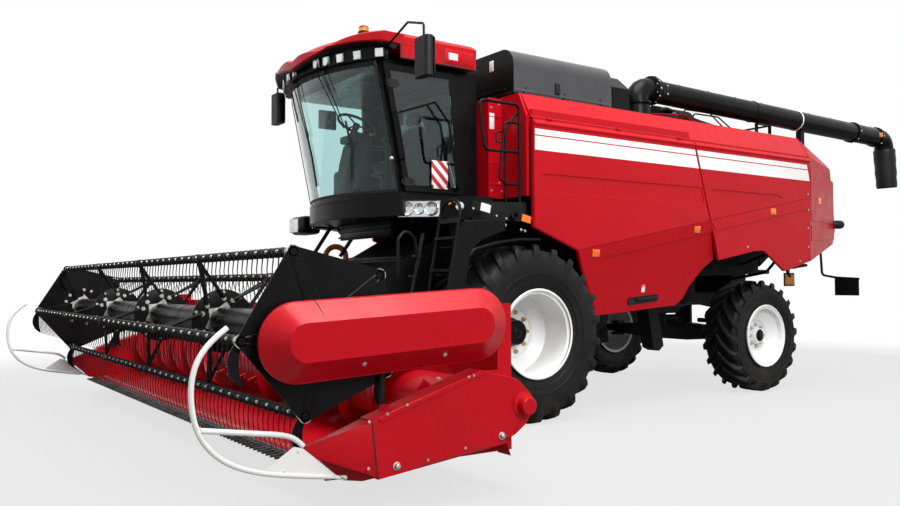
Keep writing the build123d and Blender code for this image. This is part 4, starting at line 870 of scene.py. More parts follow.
def make_smooth_shields():
    """The knife drive covers with a rounded tail and a bevelled nose."""
    tail = rounded([(-2.127, 0.819), (-1.830, 0.745), (-1.672, 0.600), (-1.745, 0.455), (-1.927, 0.336)], 0.16, 8)
    tail = [p for p in tail if p[0] > -2.05]
    outline = [(-2.891, 0.231), (-2.932, 0.574), (-2.127, 0.819)] + tail + [(-1.927, 0.336)]
    main = side_sheet([outline], 3.4545, 0.1555, 0.007)
    ends = (((-2.893, 0.231), (-2.933, 0.572), 3.610), ((-3.310, 0.397), (-3.310, 0.443), 3.476))
    nose = lofted([[at(3.4545, *low), at(x1, *low), at(x1, *high), at(3.4545, *high)] for low, high, x1 in ends])
    bmesh.ops.bevel(nose, geom=nose.edges[:], offset=0.006, segments=2, profile=0.5, affect="EDGES")
    left = joined([main, Shape().merge(nose).mesh("nose")])
    shell = as_piece("smooth_shields", joined([left, flipped(left)]), "header", "red_paint")
    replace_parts(shell, "header_shields")


make_smooth_shields()


def make_cover_details():
    """Rim, seam and catches of the reel drive cover."""
    zinc, dark, red = Shape(), Shape(), Shape()
    ends = ((-3.362, 1.050), (-2.070, 1.117))
    tilt = math.atan2(ends[1][1] - ends[0][1], ends[1][0] - ends[0][0])
    rim = []
    for (y, z), start in zip(ends, (math.pi / 2, -math.pi / 2)):
        for k in range(17):
            a = tilt + start + math.pi * k / 16
            rim.append((y + 0.236 * math.cos(a), z + 0.236 * math.sin(a)))
    inner = [(y0 + (y - y0) * 0.965, z0 + (z - z0) * 0.965) for y, z in rim
             for y0, z0 in (ends[0] if math.hypot(y - ends[0][0], z - ends[0][1]) < 0.3 else ends[1],)]
    lip = side_sheet([rim, inner], 3.462, 0.036, 0.004)
    red.bm.from_mesh(lip)
    for y, z in ((-2.985, 0.925), (-2.405, 0.950)):
        zinc.turned([(0, 0.022), (0.004, 0.022), (0.006, 0.016), (0.022, 0.015), (0.026, 0.009)],
                    at(3.579, y, z), (1, 0, -0.75), 20)
    dark.plate([at(3.502, -3.262, 1.288), at(3.502, -3.256, 1.288), at(3.6505, -3.250, 1.172),
                at(3.6505, -3.256, 1.172)], (0.0015, 0, 0.0015), 0)
    red.piece("cover_rim", "reel_arms", "red_paint")
    zinc.piece("cover_catches", "reel_arms", "zinc")
    dark.piece("cover_seam", "reel_arms", "rubber_seal")


make_cover_details()


def make_pan_details():
    """Cutter bar screws, floor ribs, stiffeners on the back wall and the frame behind it."""
    rib = Shape().block(at(-3.30, -2.69, 0.205), at(-3.288, -2.45, 0.211), 0.002).mesh("rib")
    ribs = copies(rib, 88, (0.0762, 0, 0), finish="red_paint")
    screw = Shape().bolt(at(-3.31, -2.90, 0.223), (0, 0, 1), 0.010, 0.010).mesh("screw")
    screws = copies(screw, 88, (0.0762, 0, 0), finish="zinc")
    as_piece("floor_ribs", ribs, "header", "red_paint")
    as_piece("cutter_screws", screws, "header", "zinc")
    lip = [at(-3.42, y, z) for y, z in ((-2.945, 0.206), (-2.925, 0.222), (-2.84, 0.230), (-2.78, 0.226),
                                        (-2.70, 0.206))]
    Shape().plate(lip, (6.84, 0, 0), 0.003).piece("floor_lip", "header", "red_paint")
    red = Shape()
    for x in (-2.9, -2.2, -1.5, -0.8, 0.8, 1.5, 2.2, 2.9):
        red.block(at(x - 0.03, -1.765, 0.36), at(x + 0.03, -1.735, 1.07), 0.006)
        red.block(at(x - 0.045, -1.89, 0.86), at(x + 0.045, -1.873, 1.05), 0.006)
    red.piece("pan_stiffeners", "header", "red_paint")
    hold_down = Shape().block(at(-3.42, -3.0, 0.212), at(3.42, -2.965, 0.222), 0.003)
    hold_down.piece("knife_hold_downs", "header", "blade_steel")
    screws, holes = Shape(), Shape()
    axis = joint_place("header_auger_spin")
    for side in (-1, 1):
        for a in (0, math.radians(120), math.radians(240)):
            away = Vector((0, math.cos(a), math.sin(a)))
            screws.bolt(axis + away * 0.19 + Vector((side * 3.36, 0, 0)), away, 0.012, 0.012)
    for k in range(28):
        x = -0.60 + 1.2 * (k % 7) / 6
        a = math.radians(90 * (k // 7) + 13 * (k % 7))
        away = Vector((0, math.cos(a), math.sin(a)))
        holes.turned([(0, 0.030), (0.006, 0.030), (0.010, 0.016)], axis + away * 0.1885 + Vector((x, 0, 0)), away, 12)
        screws.bolt(axis + away * 0.19 + Vector((x + 0.045, 0, 0)), away, 0.007, 0.006)
    screws.piece("auger_screws", "header_auger", "zinc")
    holes.piece("finger_guides", "header_auger", "black_plastic")


make_pan_details()


# ---------------------------------------------------------------- body sides: pressed sheets, stripe, catches
PANEL_X, SKIN = 1.620, 0.009
PANELS, MACHINE = ("side_panel_left", "side_panel_right"), ("machine", "machine")
CREASE_SLOPE = (2.084 - 1.720) / (2.594 - 0.629)
fold_foot = at(PANEL_X, 0.629, 1.720)
FOLD = (Matrix.Translation(fold_foot) @ Matrix.Rotation(math.radians(9), 4, Vector((0, 1, CREASE_SLOPE)))
        @ Matrix.Translation(-fold_foot))


def both_sides(name, mesh, bodies, finish):
    """The left piece and its mirror image, each on its own body."""
    other = flipped(mesh)
    as_piece(name + "_left", mesh, bodies[0], finish)
    as_piece(name + "_right", other, bodies[1], finish)


def crease(y, drop=0.0):
    """Height of the fold that climbs along the side, or of a line so far below it."""
    return 1.720 + CREASE_SLOPE * (y - 0.629) - drop


def seam_y(z):
    """The hinged panel's slanting rear edge."""
    if z > 2.259:
        return 2.492 + (3.045 - z) * 0.2939
    return 2.723 + (2.259 - z) * 0.3615


def ridge(y0, y1, slant=0.0):
    """Rolled upper edge of a side panel: it leans outwards and turns back in."""
    section = [(1.612, 3.044), (1.641, 2.992), (1.639, 2.982), (1.6265, 2.958), (1.612, 2.958)]
    rows = [[at(x, y + (slant * (3.044 - z) if y == y1 else 0), z) for x, z in section] for y in (y0, y1)]
    return Shape().merge(lofted(rows)).mesh("ridge")


def make_side_skins():
    """Pressed sheets over the hinged panels and over the fixed wall behind them."""
    front = [(0.045, 3.0), (seam_y(3.0) - 0.010, 3.0), (2.713, 2.259), (2.764, crease(2.764, -0.006)),
             (0.637, 1.730), (0.045, 1.950)]
    loop = rounded([(0.130, 2.488), (2.628, 2.500), (2.674, 2.310), (0.130, 2.290)], 0.03)
    upper = side_sheet([front, loop], PANEL_X - 0.001, SKIN + 0.001)
    low_start = (0.640, crease(0.640, 0.010))
    band = [low_start, (2.800, crease(2.800, 0.010)), (2.835, 1.975), (2.80, 1.980), (1.05, 1.658)]
    band += [(1.015, 1.640), (0.985, 1.600), (0.985, 1.520), (0.97, 1.10), (0.735, 1.52)]
    lower = side_sheet([band], PANEL_X - 0.001, SKIN, turn=FOLD)
    both_sides("side_panel_skin", joined([upper, lower, ridge(0.045, seam_y(2.99) - 0.012, 0.29)]),
               PANELS, "red_paint")
    rear = [(seam_y(3.0) + 0.020, 3.0), (4.843, 3.0), (4.843, crease(4.843, -0.004)),
            (seam_y(2.13) + 0.022, crease(2.80, -0.004)), (2.743, 2.259)]
    wedge = rounded([(2.772, 2.494), (4.10, 2.500), (4.27, 2.468), (3.42, 2.287), (2.805, 2.283)], 0.025)
    upper = side_sheet([rear, wedge], PANEL_X - 0.001, SKIN + 0.001)
    belt = [(seam_y(2.12) + 0.025, crease(2.81, 0.010)), (4.843, crease(4.843, 0.010)), (4.843, crease(4.843, 0.135)),
            (2.875, crease(2.875, 0.135))]
    lower = side_sheet([belt], PANEL_X - 0.001, SKIN - 0.001)
    both_sides("rear_side_skin", joined([upper, lower, ridge(seam_y(2.99) + 0.016, 4.845)]),
               MACHINE, "red_paint")


make_side_skins()


def make_stripe():
    """White band with a thin line of the body's colour, cut where the panels meet."""
    def slanted(y0, y1, z0, z1, front_cut, rear_cut):
        """One band's outline; a cut end follows the panels' seam."""
        a = seam_y(z0) + 0.024 if front_cut else y0
        b = seam_y(z1) + 0.024 if front_cut else y0
        c = seam_y(z1) - 0.014 if rear_cut else y1 - 0.28 * (z1 - 2.722)
        d = seam_y(z0) - 0.014 if rear_cut else y1 - 0.28 * (z0 - 2.722)
        return [(a, z0), (b, z1), (c, z1), (d, z0)]
    bands = ((2.722, 2.863), (2.876, 2.935))
    face = PANEL_X + SKIN - 0.0005
    front = joined([side_sheet([slanted(0.052, 0, z0, z1, False, True)], face, 0.0018, 0.0004) for z0, z1 in bands])
    rear = joined([side_sheet([slanted(0, 4.838, z0, z1, True, False)], face, 0.0018, 0.0004) for z0, z1 in bands])
    both_sides("side_stripe", front, PANELS, "white_paint")
    both_sides("rear_stripe", rear, MACHINE, "white_paint")


make_stripe()


def make_panel_fittings():
    """Reflectors, the recessed handle, plates, screws and the step above the panels."""
    lens = Shape()

    def reflector(y, z, wide=0.105, tall=0.078):
        """One reflector proud of the panel."""
        lens.block(at(PANEL_X + 0.002, y - wide / 2, z - tall / 2), at(PANEL_X + 0.016, y + wide / 2, z + tall / 2),
                   0.004)

    reflector(0.895, 1.700)
    reflector(2.545, 2.003)
    mesh = lens.mesh("lens")
    mesh.transform(FOLD)
    both_sides("side_reflector", mesh, PANELS, "orange_plastic")
    lens = Shape()
    reflector(4.02, 2.280)
    rear = lens.mesh("lens")
    both_sides("rear_side_reflector", rear, MACHINE, "orange_plastic")

    black = Shape()
    recess = rounded([(1.49, 1.145), (1.965, 1.185), (1.965, 1.235), (1.49, 1.195)], 0.02)
    frame_line = rounded([(1.475, 1.130), (1.98, 1.172), (1.98, 1.250), (1.475, 1.208)], 0.03)
    bezel = side_sheet([frame_line, recess], PANEL_X - 0.001, 0.010, turn=FOLD)
    well = side_sheet([recess], PANEL_X - 0.001, 0.002, 0.0005, turn=FOLD)
    black.block((PANEL_X + 0.004, 1.60, 1.168), (PANEL_X + 0.026, 1.95, 1.198), 0.008,
                FOLD @ Matrix.Translation((0, AXLE_Y, 0)) @ Matrix.Rotation(math.radians(4.5), 4, "X")
                @ Matrix.Translation((0, 0.09, -0.125)))
    both_sides("handle_well", well, PANELS, "rubber_seal")
    both_sides("panel_handle", joined([bezel, black.mesh("lever")]), PANELS,
               "black_plastic")
    plate = side_sheet([[(1.69, 1.270), (1.745, 1.275), (1.745, 1.335), (1.69, 1.330)]], PANEL_X, 0.002, 0.0005,
                       turn=FOLD)
    top = side_sheet([[(1.69, 1.332), (1.745, 1.337), (1.745, 1.360), (1.69, 1.355)]], PANEL_X, 0.002, 0.0005,
                     turn=FOLD)
    as_piece("panel_plate", plate, "side_panel_left", "white_paint")
    as_piece("panel_plate_edge", top, "side_panel_left", "orange_plastic")
    step = Shape()
    low, high = 3.056, 3.138
    step.plate([at(1.555, 0.03, low), at(1.555, 2.455, low), at(1.555, 2.43, high), at(1.555, 0.03, high)],
               (0.050, 0, 0), 0.003)
    both_sides("upper_step", step.mesh("step"), MACHINE, "red_paint")
    screws = Shape()
    for y, z in ((4.80, 3.0), (4.80, 2.55), (4.80, 2.34), (4.80, 2.10), (4.80, 1.85), (3.5, 1.82), (4.6, 1.66)):
        screws.bolt(at(PANEL_X + (SKIN if z > 2.2 else 0), y, z), (1, 0, 0), 0.009, 0.006)
    both_sides("hood_screws", screws.mesh("screws"), MACHINE, "zinc")
    knob = Shape().turned([(0, 0.050), (0.02, 0.058), (0.10, 0.062), (0.15, 0.056), (0.175, 0.035), (0.18, 0.0)],
                          at(1.33, 5.86, 2.20), (0.45, 1, 0), 28)
    knob.piece("rear_buffer", "machine", "black_plastic")
    corner = Shape()
    along = Vector((-0.27, 1.05, 0)).normalized()
    out = Vector((1.05, 0.27, 0)).normalized()
    edge = at(1.62, 4.85, 0)
    corner.plate([edge + along * y + Vector((0, 0, z)) - out * 0.002
                  for y, z in ((0.33, 2.44), (0.43, 2.44), (0.43, 2.53), (0.33, 2.53))], out * 0.016, 0.003)
    both_sides("corner_reflector", corner.mesh("corner"), MACHINE, "orange_plastic")
    folds = Shape()
    for y0, y1, z0, z1, z2, z3 in ((0.04, 1.02, 2.20, 2.92, 2.20, 2.80), (0.04, 1.02, 1.93, 2.13, 1.98, 2.13)):
        a, b = edge + along * y0, edge + along * y1
        folds.plate([a + Vector((0, 0, z0)), b + Vector((0, 0, z2)), b + Vector((0, 0, z3)), a + Vector((0, 0, z1))],
                    out * 0.006, 0.004)
    both_sides("corner_pressings", folds.mesh("folds"), MACHINE, "red_paint")


make_panel_fittings()


# ---------------------------------------------------------------- cab: lamps, wipers, seals, signs, mirrors
def brow_y(x):
    """Front face of the black brow under the roof's peak."""
    return -1.407 - 0.34 * (1 - (x / 1.07) ** 2)


def screen_y(x, z):
    """Outer face of the bowed windscreen, which leans forwards as it rises."""
    return -1.14 - 0.275 * (1 - (x / 0.975) ** 2) - 0.205 * (z - 2.29)


def facing(place, normal, up=(0, 0, 1)):
    """Matrix whose own +Y looks along the normal, its Z up."""
    normal = Vector(normal).normalized()
    up = Vector(up)
    side = normal.cross(up).normalized()
    up = side.cross(normal)
    turn = Matrix((side, normal, up)).transposed().to_4x4()
    return Matrix.Translation(Vector(place)) @ turn


def bowed_strip(xs, low, high, y_low, y_high, thick):
    """A strip bent round the front of the cab: two curves give its lower and upper edge."""
    lip = min(thick, 0.004)
    rows = [[at(x, y_low(x), low), at(x, y_high(x), high), at(x, y_high(x) - thick, high - lip),
             at(x, y_low(x) - thick, low + lip)] for x in xs]
    return Shape().merge(lofted(rows)).mesh("strip")


def evenly(half, count):
    """Places from -half to half, in so many steps."""
    return [-half + 2 * half * k / count for k in range(count + 1)]


def make_work_lamps():
    """Eight lamps in the brow, each square to its bow, and one at each corner of the roof."""
    case, bowl, lens = Shape(), Shape(), Shape()
    places = [(x, brow_y(x), 0.594 * x) for x in (0.858, 0.668, 0.491, 0.343, -0.102, -0.306, -0.62, -0.858)]
    places += [(side * 1.062, -1.405, side * 0.8) for side in (1, -1)]
    for x, y, swing in places:
        turn = facing(at(x, y, 3.602), (swing, -1, -0.1))
        case.block((-0.052, -0.020, -0.050), (0.052, 0.018, 0.050), 0.010, turn)
        bowl.block((-0.042, 0.010, -0.040), (0.042, 0.021, 0.040), 0.004, turn)
        lens.block((-0.043, 0.022, -0.041), (0.043, 0.029, 0.041), 0.004, turn)
    case.piece("work_lamp_cases", "machine", "black_plastic")
    bowl.piece("work_lamp_bowls", "machine", "lamp_bowl")
    lens.piece("work_lamp_lenses", "machine", "lamp_glass")


make_work_lamps()


def make_visor():
    """The roof's peak: a swept red face with two humps, a black lining below, black feet under the beacons."""
    def lower(x):
        """Lower edge of the face."""
        return 3.700 - 0.115 * max(0.0, 1 - abs(x) / 0.62) ** 0.8 - 0.03 * max(0.0, (abs(x) - 0.95) / 0.3)

    def upper(x):
        """Upper edge, with its humps."""
        hump = max(0.0, 1 - ((abs(x) - 1.05) / 0.42) ** 2)
        inner = max(0.0, 1 - ((abs(x) - 0.22) / 0.20) ** 2) * 0.3
        return 3.716 + 0.070 * hump ** 0.7 + 0.040 * inner - 0.03 * max(0.0, 1 - abs(x) / 0.15)

    def front(x):
        """Bow of the face."""
        return -1.445 - 0.405 * (1 - (x / 1.24) ** 2)

    peak, lining = [], []
    for x in evenly(1.20, 62):
        y, low, high = front(x), lower(x), upper(x)
        inward = min(1.0, 1.135 / max(abs(x), 0.01))
        back = x * inward
        peak.append([at(x, y + 0.014, low), at(x, y, low + 0.012), at(x, y + 0.010, high - 0.014),
                     at(x, y + 0.030, high), at(back, y + 0.30, max(high - 0.012, 3.80)), at(back, y + 0.30, 3.765),
                     at(back, y + 0.20, 3.705), at(x, y + 0.024, low + 0.004)])
        lining.append([at(x * 0.995, y + 0.016, low + 0.003), at(x * 0.995, y + 0.045, low - 0.004),
                       at(back * 0.99, y + 0.19, 3.640), at(back * 0.99, y + 0.24, 3.690)])
    Shape().merge(lofted(peak)).piece("roof_visor", "machine", "red_paint")
    Shape().merge(lofted(lining)).piece("visor_lining", "machine", "black_plastic")
    feet = Shape()
    for side in (1, -1):
        feet.turned([(3.812, 0.072), (3.835, 0.070), (3.842, 0.060), (3.868, 0.058), (3.872, 0.052)],
                    at(side * 0.78, -1.425, 0), "Z", 32)
        feet.block(at(side * 0.78 - 0.08, -1.50, 3.76), at(side * 0.78 + 0.08, -1.34, 3.818), 0.01)
    feet.piece("beacon_feet", "machine", "black_plastic")


make_visor()


def make_front_trim():
    """Screen seal, black lower edge of the brow, steps of the band, wipers."""
    xs = evenly(0.955, 30)
    seal = [bowed_strip(xs, 2.285, 2.318, lambda x: screen_y(x, 2.285), lambda x: screen_y(x, 2.318), 0.010),
            bowed_strip(xs, 3.500, 3.552, lambda x: screen_y(x, 3.50), lambda x: screen_y(x, 3.552), 0.010)]
    for side in (1, -1):
        run = [at(side * 0.958, screen_y(0.958, z) - 0.004, z) for z in (2.30, 2.7, 3.1, 3.5)]
        seal.append(pipes([run], 0.012, 0.02, 8, "rubber_seal"))
    as_piece("screen_seal", joined(seal), "machine", "rubber_seal")
    as_piece("brow_edge", bowed_strip(evenly(1.05, 30), 3.549, 3.572, lambda x: brow_y(x) + 0.01,
                                      lambda x: brow_y(x), 0.005),
             "machine", "black_plastic")

    def band_y(x):
        """Front of the band below the screen."""
        return -1.135 - 0.31 * (1 - (x / 0.99) ** 2)
    trim = [bowed_strip(evenly(0.975, 30), low, high, band_y, band_y, 0.007)
            for low, high in ((2.222, 2.247), (2.052, 2.072))]
    as_piece("band_lips", joined(trim), "machine", "black_paint")
    lift = 0.016
    for name, pivot, tip, blade in (
            ("left", (0.263, 3.520), (0.505, 2.95), ((0.535, 3.02), (0.546, 2.741), (0.470, 2.434))),
            ("right", (-0.34, 3.520), (-0.20, 2.95), ((-0.235, 3.02), (-0.20, 2.741), (-0.22, 2.434)))):
        arms = []
        for shift in (0.0, 0.10):
            arms.append([at(pivot[0] + shift, screen_y(pivot[0] + shift, pivot[1]) - lift - 0.012, pivot[1]),
                         at(tip[0] + shift * 0.3, screen_y(tip[0], tip[1]) - lift - 0.012, tip[1])])
        arms.append([at(x, screen_y(x, z) - lift - 0.004, z) for x, z in blade])
        pipe_piece("wiper_" + name, arms, 0.006, 0.02, 8, "black_plastic")
        wiping = Shape()
        for (x0, z0), (x1, z1) in zip(blade, blade[1:]):
            a, b = at(x0, screen_y(x0, z0) - 0.004, z0), at(x1, screen_y(x1, z1) - 0.004, z1)
            wiping.plate([a, b, b + Vector((0, -0.018, 0)), a + Vector((0, -0.018, 0))], (0.005, 0, 0), 0)
        base = at(pivot[0] + 0.05, screen_y(pivot[0] + 0.05, 3.52) - 0.004, 3.52)
        wiping.block(base + Vector((-0.08, -0.026, -0.018)), base + Vector((0.08, 0.004, 0.018)), 0.006)
        wiping.piece("wiper_blade_" + name, "machine", "rubber_seal")


make_front_trim()


def make_headlights():
    """Two lamps set into the wings: bowls behind a clear rounded cover."""
    case, bowl, lens = Shape(), Shape(), Shape()
    for side in (1, -1):
        start = Vector((side * 0.93, -1.115 + AXLE_Y, 0))
        along = Vector((side * 0.47, 0.545, 0)).normalized()
        out = Vector((side * 0.545, -0.47, 0)).normalized()
        middle = start + along * 0.205 + Vector((0, 0, 2.118))
        turn = facing(middle, out)
        case.block((-0.216, -0.010, -0.088), (0.216, 0.012, 0.088), 0.020, turn)
        for x, r in ((-0.120, 0.066), (0.0, 0.052), (0.120, 0.066)):
            spot = turn @ Vector((x, 0.011, 0))
            bowl.turned([(0.0, r * 0.2), (0.004, r * 0.62), (0.012, r * 0.95), (0.014, r), (0.010, r + 0.004),
                         (0.0, r + 0.004)], spot, out, 24, closed=True)
            bowl.turned([(0.0, r * 0.22), (0.012, r * 0.2), (0.014, 0.0)], spot, out, 14)
        bowl.block((-0.205, 0.008, -0.078), (0.205, 0.0125, 0.078), 0.002, turn)
        lens.block((-0.214, 0.026, -0.086), (0.214, 0.040, 0.086), 0.02, turn)
        for edge in (-1, 1):
            case.block((-0.216, 0.008, edge * 0.082 - 0.006), (0.216, 0.030, edge * 0.082 + 0.006), 0.003, turn)
            case.block((edge * 0.210 - 0.006, 0.008, -0.07), (edge * 0.210 + 0.006, 0.030, 0.07), 0.003, turn)
    case.piece("headlight_cases", "machine", "black_plastic")
    bowl.piece("headlight_bowls", "machine", "lamp_bowl")
    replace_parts(lens.piece("headlight_covers", "machine", "lamp_glass"), "headlights")


make_headlights()


def make_door_details():
    """Hinge plates, rails behind the glass, gas strut, knob and warning board of the cab door."""
    black, zinc = Shape(), Shape()
    for y, z in ((-1.251, 3.334), (-1.069, 2.383)):
        outline = [(y + 0.075 * math.cos(a), z + 0.042 * math.sin(a)) for a in
                   (2 * math.pi * k / 24 for k in range(24))]
        black.bm.from_mesh(side_sheet([outline], 1.030, 0.008))
        black.bolt(at(1.038, y - 0.035, z), (1, 0, 0), 0.009, 0.007)
        black.bolt(at(1.038, y + 0.035, z), (1, 0, 0), 0.009, 0.007)
    black.block(at(1.030, -0.60, 2.70), at(1.046, -0.565, 2.86), 0.006)
    black.block(at(1.046, -0.595, 2.72), at(1.066, -0.57, 2.84), 0.008)
    black.piece("door_fittings", "cab_door", "black_plastic")
    zinc.turned([(-0.020, 0.006), (-0.016, 0.013), (-0.006, 0.0195), (0.004, 0.0195), (0.014, 0.013), (0.018, 0.0)],
                at(1.040, -1.262, 2.60), "X", 20)
    zinc.turned([(-0.06, 0.006), (0.0, 0.006)], at(1.030, -1.262, 2.60), (1, -0.3, 0), 8)
    zinc.piece("corner_knob", "machine", "zinc")
    rails = [[at(0.978, -1.10, 2.76), at(0.962, -0.93, 2.798), at(0.962, -0.871, 2.724), at(0.962, -0.873, 2.36)],
             [at(0.962, -1.06, 2.60), at(0.962, -0.70, 2.694)]]
    pipe_piece("door_rails", rails, 0.012, 0.05, 10, "black_paint", "cab_door")
    strut = [at(0.975, -0.655, 3.02), at(0.975, -0.548, 2.64)]
    pipe_piece("door_strut", [strut], 0.012, 0.02, 12, "black_plastic", "cab_door")
    rod = [at(0.975, -0.549, 2.645), at(0.975, -0.462, 2.34)]
    pipe_piece("door_strut_rod", [rod], 0.005, 0.02, 10, "chrome_rod", "cab_door")
    board = Shape().block(at(1.034, -0.795, 2.335), at(1.040, -0.600, 2.618), 0.002)
    board.piece("warning_board", "cab_door", "warning_bands")
    clips = Shape()
    for y in (-0.79, -0.605):
        for z in (2.36, 2.595):
            clips.block(at(1.028, y - 0.012, z - 0.01), at(1.043, y + 0.012, z + 0.01), 0.002)
    clips.piece("board_clips", "cab_door", "black_plastic")


make_door_details()


def make_roof_details():
    """Seams, pressings and blank signs of the roof, and the mirrors' faces and rims."""
    dark, white, red = Shape(), Shape(), Shape()
    for side in (1, -1):
        for y in (-1.222, -0.728):
            dark.block(at(side * 1.1395, y - 0.003, 3.572), at(side * 1.1405, y + 0.003, 3.775), 0)
        dark.block(at(side * 1.1385 - 0.0015, -1.22, 3.566), at(side * 1.1385 + 0.0015, -0.32, 3.580), 0)
        red.block(at(side * 1.137 - 0.006, -0.70, 3.590), at(side * 1.137 + 0.006, -0.345, 3.740), 0.004)
    white.block(at(1.1425, -0.655, 3.632), at(1.1445, -0.545, 3.700), 0.0006)
    white.block(at(0.75, -1.262, 3.8115), at(0.86, -1.20, 3.8155), 0.0006)
    red.block(at(-0.55, -1.25, 3.812), at(0.55, -0.45, 3.834), 0.010)
    red.block(at(-0.40, -1.10, 3.830), at(0.40, -0.60, 3.848), 0.008)
    for x in (-0.78, 0.78):
        red.block(at(x - 0.09, -1.30, 3.812), at(x + 0.09, -0.42, 3.826), 0.006)
    dark.piece("roof_seams", "machine", "rubber_seal")
    white.piece("blank_roof_signs", "machine", "white_paint")
    red.piece("roof_pressings", "machine", "red_paint")
    glass, ring = Shape(), Shape()
    for x0, x1, y1, z0, z1 in ((1.69, 1.91, -1.34, 3.22, 3.575), (-1.36, -1.14, -1.41, 3.27, 3.625)):
        glass.block(at(x0 + 0.015, y1 - 0.002, z0 + 0.018), at(x1 - 0.015, y1 + 0.003, z1 - 0.018), 0.0015)
        outer = [(x0 + 0.004, z0 + 0.005), (x1 - 0.004, z0 + 0.005), (x1 - 0.004, z1 - 0.005),
                 (x0 + 0.004, z1 - 0.005)]
        inner = [(x0 + 0.016, z0 + 0.019), (x1 - 0.016, z0 + 0.019), (x1 - 0.016, z1 - 0.019),
                 (x0 + 0.016, z1 - 0.019)]
        mesh = pressed_sheet([rounded(outer, 0.03), rounded(inner, 0.02)], 0.010, 0.003)
        mesh.transform(Matrix.Translation((0, y1 + AXLE_Y + 0.002, 0)) @ Matrix.Rotation(math.pi / 2, 4, "X"))
        ring.bm.from_mesh(mesh)
    glass.piece("mirror_faces", "machine", "mirror_glass")
    ring.piece("mirror_rims", "machine", "black_plastic")


make_roof_details()


# ---------------------------------------------------------------- cab interior: seat, console, steering pod
def cushion(low, high, crown, levels=2):
    """A soft block: seams pull the edges in, the faces are crowned."""
    part = bmesh.new()
    bmesh.ops.create_cube(part, size=1.0)
    low, high = Vector(low), Vector(high)
    bmesh.ops.scale(part, vec=high - low, verts=part.verts)
    bmesh.ops.translate(part, vec=(low + high) / 2, verts=part.verts)
    bmesh.ops.subdivide_edges(part, edges=part.edges[:], cuts=5, use_grid_fill=True)
    middle, half = (low + high) / 2, (high - low) / 2
    for v in part.verts:
        u = Vector(((v.co.x - middle.x) / half.x, (v.co.y - middle.y) / half.y, (v.co.z - middle.z) / half.z))
        soft = 1 - 0.10 * (u.x ** 2 * u.y ** 2 + u.y ** 2 * u.z ** 2 + u.x ** 2 * u.z ** 2)
        swell = (1 - u.x ** 2) * (1 - u.y ** 2)
        v.co = middle + Vector((u.x * half.x * soft, u.y * half.y * soft, u.z * half.z * soft))
        v.co.z += crown[2] * swell * (1 if u.z > 0 else -0.3)
        v.co.y += crown[1] * (1 - u.x ** 2) * (1 - u.z ** 2) * (-1 if u.y < 0 else 0.3)
        ridge_at = abs(abs(u.x) - 0.6)
        if ridge_at < 0.08:
            v.co.z -= 0.006 * (abs(u.z) > 0.9)
            v.co.y += 0.006 * (u.y < -0.9)
    mesh = bpy.data.meshes.new("cushion")
    part.to_mesh(mesh)
    part.free()
    obj = in_scene("cushion", mesh)
    smooth = obj.modifiers.new("Smooth", "SUBSURF")
    smooth.levels = smooth.render_levels = levels
    return plain_mesh(obj)


